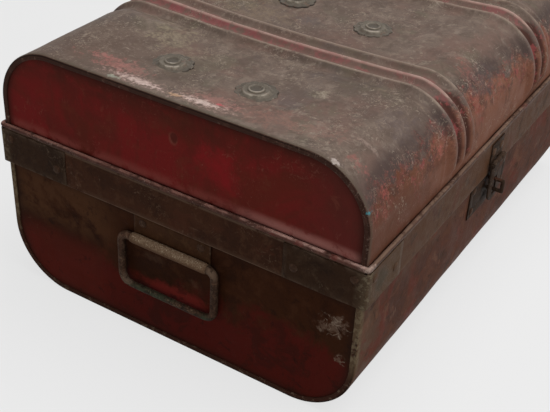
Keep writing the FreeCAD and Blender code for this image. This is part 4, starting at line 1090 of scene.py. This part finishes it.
# the walls keep their brown, with a ragged border of red and crust below the curve
border = paint.ragged_height(24.0, 0.7, 0.075)
wall = (border, 0.236, 0.226)
paint.coat((0.118, 0.043, 0.024), 0.92, wall)
paint.coat((0.132, 0.054, 0.029), 0.8, wall, (13.0, 0.5, 0.62))
paint.coat((0.14, 0.028, 0.018), 0.5, wall, (30.0, 0.57, 0.67))
paint.coat((0.082, 0.038, 0.021), 0.5, wall, (40.0, 0.58, 0.67))
paint.coat((0.215, 0.094, 0.06), 0.7, wall, ("X", -0.21, -0.11), (34.0, 0.36, 0.54))
for shade, share, pattern in (
        ((0.15, 0.052, 0.041), 0.6, (60.0, 0.52, 0.6)), ((0.23, 0.055, 0.052), 0.65, (100.0, 0.57, 0.62)),
        ((0.062, 0.032, 0.023), 0.65, (85.0, 0.5, 0.6)), ((0.3, 0.105, 0.092), 0.55, (flecks, 150.0, 2.2)),
        ((0.225, 0.15, 0.115), 0.5, (flecks, 120.0, 1.4))):
    paint.coat(shade, share, paint.over((border, 0.244, 0.234), (border, 0.206, 0.22)), pattern)

# along the ribs: pink and crimson on the middle one with a painted highlight on its crest, painted shade and
# red specks in the grooves round the bend, crests rubbed bare and lit with painted highlights, and bare lips
paint.coat((0.142, 0.097, 0.076), 0.5, "valley", crown)
middle = paint.over("middle", crown)
pink = paint.over((middle, 0.3, 0.7), (16.0, 0.36, 0.54))
paint.coat((0.158, 0.082, 0.068), 0.6, pink)
paint.coat((0.225, 0.06, 0.064), 0.7, (middle, 0.45, 0.6), (30.0, 0.48, 0.57), (120.0, 0.36, 0.5),
           ("Y", -0.08, -0.01))
paint.coat((0.25, 0.08, 0.08), 0.55, (middle, 0.3, 0.6), (75.0, 0.52, 0.6))
# painted highlight along the middle crest
paint.coat((0.31, 0.165, 0.142), 0.85, (middle, 0.84, 0.93), (22.0, 0.34, 0.5))
paint.coat((0.12, 0.078, 0.062), 0.6, pink, (90.0, 0.55, 0.62))
# painted shade in the grooves between the ribs round the bend, with red specks
deep = paint.over("valley", ("Z", 0.255, 0.243), (50.0, 0.28, 0.42))
paint.coat((0.06, 0.024, 0.018), 0.92, (deep, 0.22, 0.6))
paint.coat((0.27, 0.065, 0.062), 0.7, (deep, 0.05, 0.4), (85.0, 0.54, 0.6))
# crests: rubbed bare and lit with a painted highlight, also round the bend and in pink on the middle rib
crest = paint.over("crest", (46.0, 0.32, 0.52))
paint.coat((0.3, 0.225, 0.178), 0.75, crest, crown, lift=0.3)
paint.coat((0.168, 0.122, 0.1), 0.5, crest, ("Z", 0.252, 0.244))
paint.coat((0.4, 0.262, 0.225), 0.6, pink, crest)
paint.coat((0.27, 0.205, 0.15), 0.6, "lip", crown, (30.0, 0.44, 0.58), (220.0, 0.44, 0.56), lift=0.4)

# single marks: place, size, shade, share and fray
for place, size, shade, share, fray in (
        ((-0.154, 0.084, 0.258), (0.022, 0.022, 0.02), (0.27, 0.22, 0.15), 0.5, 2.2),
        ((-0.168, 0.07, 0.256), (0.02, 0.028, 0.02), (0.25, 0.205, 0.145), 0.4, 2.4),
        ((-0.24, 0.086, 0.261), (0.014, 0.032, 0.02), (0.3, 0.12, 0.105), 0.85, 1.5),
        ((-0.238, -0.08, 0.26), (0.022, 0.03, 0.03), (0.235, 0.12, 0.095), 0.55, 1.6),
        ((-0.236, -0.12, 0.26), (0.018, 0.03, 0.03), (0.23, 0.125, 0.1), 0.5, 1.6),
        ((-0.223, -0.164, 0.26), (0.0035, 0.02, 0.02), (0.29, 0.215, 0.18), 0.6, 0.6),
        ((-0.252, -0.172, 0.258), (0.009, 0.012, 0.02), (0.33, 0.115, 0.1), 0.65, 1.6),
        ((-0.114, -0.085, 0.258), (0.0035, 0.015, 0.02), (0.5, 0.42, 0.36), 0.85, 0.9),
        ((-0.17, -0.089, 0.256), (0.007, 0.008, 0.02), (0.34, 0.285, 0.215), 0.6, 2.4),
        ((-0.045, 0.06, 0.256), (0.03, 0.04, 0.03), (0.185, 0.135, 0.09), 0.55, 1.8),
        ((-0.036, 0.004, 0.255), (0.014, 0.016, 0.03), (0.088, 0.076, 0.076), 0.6, 1.0),
        ((-0.172, -0.165, 0.252), (0.026, 0.022, 0.03), (0.094, 0.07, 0.068), 0.6, 1.0),
        ((-0.036, -0.17, 0.25), (0.018, 0.016, 0.03), (0.24, 0.092, 0.076), 0.6, 1.6),
        ((-0.052, -0.192, 0.228), (0.01, 0.016, 0.02), (0.24, 0.055, 0.045), 0.6, 1.6),
        ((-0.02, -0.182, 0.24), (0.03, 0.02, 0.02), (0.088, 0.066, 0.062), 0.6, 1.2),
        ((-0.118, -0.181, 0.24), (0.004, 0.006, 0.006), (0.46, 0.15, 0.13), 0.8, 0.8),
        ((-0.14, -0.193, 0.22), (0.006, 0.01, 0.008), (0.4, 0.12, 0.095), 0.7, 1.0),
        ((-0.24, -0.19, 0.23), (0.006, 0.012, 0.009), (0.36, 0.085, 0.072), 0.6, 1.5),
        ((-0.246, -0.193, 0.216), (0.005, 0.012, 0.012), (0.26, 0.072, 0.058), 0.5, 1.6),
        ((0.15, -0.11, 0.256), (0.04, 0.03, 0.03), (0.21, 0.09, 0.068), 0.55, 1.8),
        ((0.06, 0.06, 0.256), (0.03, 0.05, 0.03), (0.22, 0.175, 0.125), 0.5, 2.2),
        ((0.205, 0.12, 0.256), (0.03, 0.02, 0.03), (0.29, 0.14, 0.115), 0.55, 1.8)):
    paint.coat(shade, share, (stain, place, size, fray, 120.0, 0.6, 0.8))
paint.coat((0.31, 0.25, 0.192), 0.62, (flecks, 150.0, 0.7), lift=0.4)
paint.coat((0.31, 0.25, 0.195), 0.55, (flecks, 90.0, 0.5), lift=0.4)
paint.coat((0.08, 0.056, 0.044), 0.5, (flecks, 62.0, 0.45), lift=-0.3)
paint.coat((0.07, 0.048, 0.038), 0.5, (170.0, 0.63, 0.68), lift=-0.4)
paint.coat((0.32, 0.26, 0.21), 1.0, (scratches, (90.0, 700.0, 700.0), 0.5, 30.0), lift=-0.3)
paint.coat((0.32, 0.25, 0.205), 1.0, (scratches, (700.0, 70.0, 70.0), 0.5, 46.0), lift=-0.3)

# the folded rims: brown, with painted shade and grime in the line under the rolled edge and painted glints on
# the fold
paint.coat((0.088, 0.066, 0.047), 0.65, ("X", -0.266, -0.2712), (36.0, 0.26, 0.46))
paint.coat((0.038, 0.015, 0.01), 0.95, ("hem", 0.25, 0.42))
folds = paint.over(("hem", 0.25, 0.42), (60.0, 0.52, 0.6))
paint.coat((0.074, 0.034, 0.024), 0.7, folds)
# painted glints on the fold
paint.coat((0.23, 0.16, 0.12), 0.7, folds, (150.0, 0.58, 0.63))
# painted shade and grime: the dark line under the rolled edge, weaker towards the front
paint.coat((0.013, 0.007, 0.005), 0.92, ("hem", 0.62, 0.85), (55.0, 0.3, 0.46),
           ("Y", -0.185, -0.11, 0.45, 1.0))
# painted glints along the fold towards the front
paint.coat((0.17, 0.12, 0.09), 0.6, ("hem", 0.1, 0.3), (flecks, 190.0, 1.6), ("Y", -0.08, -0.16))

# scrapes along the left seam: place, size and shade
for place, size, shade in (
        ((-0.24, 0.067, 0.261), (0.013, 0.022, 0.012), (0.27, 0.13, 0.11)),
        ((-0.244, -0.028, 0.26), (0.012, 0.028, 0.012), (0.29, 0.14, 0.12)),
        ((-0.256, 0.045, 0.2622), (0.01, 0.04, 0.012), (0.36, 0.235, 0.205)),
        ((-0.255, -0.02, 0.262), (0.0095, 0.034, 0.012), (0.34, 0.225, 0.19)),
        ((-0.257, 0.042, 0.2622), (0.006, 0.026, 0.01), (0.58, 0.45, 0.4)),
        ((-0.2545, -0.02, 0.262), (0.006, 0.022, 0.01), (0.6, 0.47, 0.42)),
        ((-0.2583, 0.004, 0.2622), (0.004, 0.009, 0.01), (0.46, 0.28, 0.16)),
        ((-0.265, 0.066, 0.2636), (0.004, 0.008, 0.01), (0.3, 0.32, 0.25)),
        ((-0.2679, -0.157, 0.2615), (0.004, 0.006, 0.01), (0.52, 0.44, 0.4)),
        ((-0.248, -0.034, 0.261), (0.0026, 0.0045, 0.01), (0.46, 0.055, 0.075)),
        ((-0.27, -0.1915, 0.2262), (0.004, 0.003, 0.003), (0.05, 0.3, 0.34))):
    paint.coat(shade, 0.75, (stain, place, size, 1.5, 240.0, 0.7, 0.35), lift=0.2)
LID_WRAP_PAINT = paint.finish(0.0005, 0.6)

# fine columns across each group of ribs, coarse ones between them
lid_stations = []
lid_marks = (*RIB_COLUMNS, WRAP_EVEN)
lid_marks = (*(-mark for mark in reversed(lid_marks)), *lid_marks)
for number, (low, high) in enumerate(zip(lid_marks, lid_marks[1:])):
    lid_stations += spread(low, high, 0.0013 if number % 2 else 0.006)
lid_columns = with_folded_rims(lid_stations + [WRAP_EVEN])
lid_rows = outline_stations(FRONT_WALL, LID_FOOT, LID_TOP, LID_RADIUS, 0.003, 0.006)
finish_piece("lid_sheet", grid_mesh(lid_columns, lid_rows, lid_shape, LID_WEAR_AND_SHADING), "lid", "lid_wrap",
             [LID_WRAP_PAINT, PRIMER], SHEET)

# The lid's end panels: flat red sheets held in the folded rim.  Brown haze and curling hairlines cover the
# red, a ring mark has been worn near the middle, and the foot is rubbed pink under a painted pink highlight.
# Painted shade darkens the top under the seam and all the edges.
paint = Paint("lid_end_paint", (0.15, 0.014, 0.0125), (0.094, 0.0155, 0.011), (0.17, 0.019, 0.0155),
              broad=8.0, fine=32.0, lightness=0.35, rough=0.42, gloss=0.015, grain=0.04)
paint.coat((0.098, 0.018, 0.011), 0.75, (10.0, 0.47, 0.6, 0.8))
streaks = add(paint.tree, "ShaderNodeMapping", {"Vector": paint.vector, "Scale": (1.0, 30.0, 9.0)}).outputs[0]
paint.coat((0.075, 0.018, 0.011), 0.42, (paint.clouds(1.0, 6.0, 0.66, 0.8, streaks), 0.48, 0.66))
paint.coat((0.118, 0.026, 0.015), 0.45, (26.0, 0.52, 0.64))
# painted shade under the seam: the top of the panel darker, broken up by clouds
paint.coat((0.06, 0.016, 0.01), 0.7, ("Z", 0.226, 0.252), (14.0, 0.32, 0.52))
paint.coat((0.074, 0.022, 0.017), 0.6, ("Y", -0.11, -0.185), ("Y", 0.0, -0.001))
paint.coat((0.225, 0.013, 0.015), 0.8,
           (stain, (-END_WALL, -0.046, 0.214), (0.03, 0.03, 0.026), 0.9, 40.0, 0.9, 0.0))
# the foot: rubbed pink, with a painted pink highlight above the bead that is strongest towards the front
paint.coat((0.235, 0.06, 0.048), 0.65, ("Z", 0.19, 0.179), (45.0, 0.36, 0.54))
paint.coat((0.36, 0.165, 0.14), 0.6, ("Z", 0.189, 0.18), ("Y", -0.04, -0.12), (60.0, 0.3, 0.5))
paint.coat((0.165, 0.044, 0.028), 0.35, (52.0, 0.6, 0.68))
paint.coat((0.215, 0.075, 0.052), 0.38, (flecks, 95.0, 0.55))
paint.coat((0.34, 0.19, 0.14), 0.6, (210.0, 0.68, 0.72), lift=0.3)
paint.coat((0.2, 0.075, 0.055), 1.0, (scratches, (60.0, 500.0, 900.0), 0.25, 24.0))
paint.coat((0.18, 0.066, 0.048), 1.0, (scratches, (60.0, 900.0, 120.0), 0.25, 40.0))
# painted shade along the seams
paint.coat((0.03, 0.01, 0.007), 0.8, "edge_shade")
paint.coat((0.19, 0.075, 0.05), 0.5,
           (stain, (-END_WALL, -0.0022, 0.227), (0.03, 0.0058, 0.0078), 0.2, 90.0, 0.4, 0.4))
paint.coat((0.07, 0.013, 0.009), 0.85,
           (stain, (-END_WALL, -0.0032, 0.2282), (0.03, 0.0046, 0.0064), 0.2, 90.0, 0.4, 0.0))
panel_rows = spread(LID_FOOT, 0.214, 0.006) + spread(0.214, LID_TOP - SHEET, 0.0025) + [LID_TOP - SHEET]
end_panels("lid", paint.finish(0.0005, 0.5), panel_rows, LID_TOP, LID_RADIUS,
           (0.0012, 0.1, 15), 0.011)

# The rosettes: domed washers of grey-green steel with twelve scallops, held by a hollow stud that is
# clenched over a plain washer inside the lid.  They hold the wooden slats that once lined it.
ROSETTE_RADIUS = 0.02
ROSETTE_SHEET = 0.0009
# the side of each rosette and stud that carries the painted crescent highlight
CRESCENT = math.radians(205)
SCALLOPS = 12
SCALLOP_DEPTH = 0.105
FLUTE_DEPTH = 0.00035
ROSETTE_PLACES = {
    "left_front": (-0.204, -0.0427), "left_back": (-0.204, 0.0473), "middle_front": (-0.017, -0.059),
    "middle_back": (0.0, 0.039), "right_front": (0.204, -0.0427), "right_back": (0.204, 0.0473),
}
paint = Paint("rosette_steel", (0.124, 0.103, 0.08), (0.082, 0.066, 0.051), (0.175, 0.152, 0.12), broad=45.0,
              fine=150.0, darkness=0.55, lightness=0.5, rough=0.45, metallic=0.1, gloss=0.06, grain=0.1)
# painted shadow: a dark outline under the scalloped edge of the flange
paint.coat((0.03, 0.022, 0.017), 0.9, ("rim", 0.0, 0.4))
# painted glints on the flange's edge
paint.coat((0.34, 0.28, 0.225), 0.75, ("rim", 0.0, 0.5), (70.0, 0.54, 0.6))
# painted highlight: a light crescent on the lit side of each raised ring
paint.coat((0.44, 0.385, 0.315), 0.8, "lit_crescent", (48.0, 0.42, 0.56))
paint.coat((0.074, 0.062, 0.05), 0.75, "hollow")
paint.coat((0.15, 0.075, 0.052), 0.5, (90.0, 0.57, 0.66), lift=-0.3)
paint.coat((0.3, 0.26, 0.205), 0.55, (flecks, 230.0, 0.7), lift=0.2)
paint.coat((0.3, 0.255, 0.21), 1.0, (scratches, (300.0, 500.0, 300.0), 0.4, 80.0))
ROSETTE_STEEL = paint.finish(0.0004, 0.8)

# distances from the axis and heights: the stud from its hollow head to its foot, and the washer inside
STUD_PROFILE = [(0.0, 0.0034), (0.0044, 0.0034), (0.0052, 0.0036), (0.0058, 0.0043), (0.0063, 0.0047),
                (0.0069, 0.0047), (0.0075, 0.0042), (0.0079, 0.0034), (0.0079, 0.0029), (0.0052, 0.0027),
                (0.0052, -0.0022), (0.007, -0.0026), (0.0068, -0.0032), (0.0, -0.0033)]
WASHER_PROFILE = [(0.0056, -SHEET), (0.0056, -SHEET - 0.001), (0.0115, -SHEET - 0.001),
                  (0.012, -SHEET - 0.0006), (0.012, -SHEET)]


def rosette_height(share):
    """The pressed profile: a flat rim, a raised ring and a shallow hollow under the stud."""
    steps = ((0.0, 0.0024), (0.34, 0.0024), (0.44, 0.0031), (0.6, 0.0033), (0.71, 0.0012), (0.8, 0.0006),
             (0.92, 0.0011), (1.0, 0.0004))
    for (near, low), (far, high) in zip(steps, steps[1:]):
        if share <= far:
            return low + (high - low) * soft_step((share - near) / (far - near))
    return steps[-1][1]


def with_shading_and_tone(net, values):
    """Gives each corner its mask values, for tone, painted shade and painted highlights, from its distance
    from the axis, its angle and its height.
    """
    layers = [(net.verts.layers.float.new(name), value) for name, value in values.items()]
    for corner in net.verts:
        far, angle = corner.co.to_2d().length, math.atan2(corner.co.y, corner.co.x)
        for layer, value in layers:
            corner[layer] = value(far, max(0.0, math.cos(angle - CRESCENT)), corner.co.z)


# the rosette's edge for painted shadow and glints, the painted crescent highlight on its raised ring, and its
# darker flange
ROSETTE_SHADING_AND_TONE = {
    "rim": lambda far, lit, z: max(0.0, (far / ROSETTE_RADIUS - 0.955) / 0.045),
    "lit_crescent": lambda far, lit, z: lit * max(0.0, 1.0 - abs(far / ROSETTE_RADIUS - 0.61) / 0.06),
    "hollow": lambda far, lit, z: 0.6 if far / ROSETTE_RADIUS > 0.7 else 0.0,
}
# the stud's painted highlight ring, brightest on the lit side, and its dark centre
STUD_SHADING_AND_TONE = {
    "lit_crescent": lambda far, lit, z: (
        (0.25 + 0.75 * lit) * max(0.0, 1.0 - abs(far - 0.0066) / 0.0012) if z > 0 else 0.0),
    "hollow": lambda far, lit, z: 1.0 if far < 0.0055 and z > 0 else 0.0,
}
rosette_section = [(share * ROSETTE_RADIUS, rosette_height(share) + ROSETTE_SHEET * 0.55)
                   for share in (0.265, 0.29, 0.31, 0.34, 0.37, 0.41, 0.46, 0.52, 0.58, 0.62, 0.65, 0.68,
                                 0.76, 0.84, 0.9, 0.95, 0.985)]
rosette_section += [(ROSETTE_RADIUS, ROSETTE_SHEET * 0.4), (ROSETTE_RADIUS, 0.0),
                    (0.84 * ROSETTE_RADIUS, 0.0), (0.265 * ROSETTE_RADIUS, 0.0018)]
stud_nets, washer_nets = [], []
for name, (x, y) in ROSETTE_PLACES.items():
    turned = 0.4 * dented(Vector((x, y, 0)), 0.05, 17)
    rosette = spun(rosette_section, 96)
    with_shading_and_tone(rosette, ROSETTE_SHADING_AND_TONE)
    for corner in rosette.verts:
        share = corner.co.to_2d().length / ROSETTE_RADIUS
        ridge = abs(math.sin(SCALLOPS / 2 * (math.atan2(corner.co.y, corner.co.x) + turned)))
        corner.co.xy *= 1.0 - SCALLOP_DEPTH * (1.0 - ridge ** 0.7) * within((share - 0.5) / 0.4)
        if corner.co.z > 0.0005:
            corner.co.z -= FLUTE_DEPTH * (1.0 - ridge) * max(0.0, 1.0 - abs(share - 0.84) / 0.16)
    stud = spun(STUD_PROFILE, 28, closed=False)
    with_shading_and_tone(stud, STUD_SHADING_AND_TONE)
    washer = spun(WASHER_PROFILE, 32)
    for net in (rosette, stud, washer):
        bmesh.ops.translate(net, vec=(x, y, lid_level(x, y)), verts=net.verts)
    finish_piece(f"rosette_{name}_pressed", rosette, "lid", f"rosette_{name}",
                 [ROSETTE_STEEL])
    stud_nets.append(stud)
    washer_nets.append(washer)
finish_piece("rosette_stud_heads", gathered(stud_nets), "lid", "rosette_studs", [ROSETTE_STEEL])
finish_piece("rosette_washers_inside", gathered(washer_nets), "lid", "rosette_backing_washers",
             [ROSETTE_STEEL])

# Rivets of the lock plate, the hinges and the hasp: iron heads outside, and where they go through the body's
# sheet, small clenched heads inside.
BODY_LEAF_FACE, LID_LEAF_FACE = 0.1976, 0.2012
HINGE_RIVETS_X = (-0.167, -0.133, 0.133, 0.167)
for rivets, body, way, face, xs, heights, clenched in (
        ("lock_plate_rivets", "body", -1, BODY_LEAF_FACE, (-0.0385, 0.0385), (0.102, 0.1265), True),
        ("hinge_body_rivets", "body", 1, BODY_LEAF_FACE, HINGE_RIVETS_X, (0.1035,), True),
        ("hinge_lid_rivets", "lid", 1, LID_LEAF_FACE, HINGE_RIVETS_X, (0.1545,), False),
        ("hasp_rivets", "lid", -1, LID_LEAF_FACE, (-0.0095, 0.0095), (0.1592,), False)):
    places = [(x, z) for x in xs for z in heights]
    heads = [domed_rivet((x, way * face, z), (0, way, 0)) for x, z in places]
    if clenched:
        heads += [domed_rivet((x, way * (FRONT_WALL - SHEET), z), (0, -way, 0), *CLENCHED_HEAD)
                  for x, z in places]
    finish_piece(f"{rivets}_heads", gathered(heads), body, rivets, [RIVET_IRON])
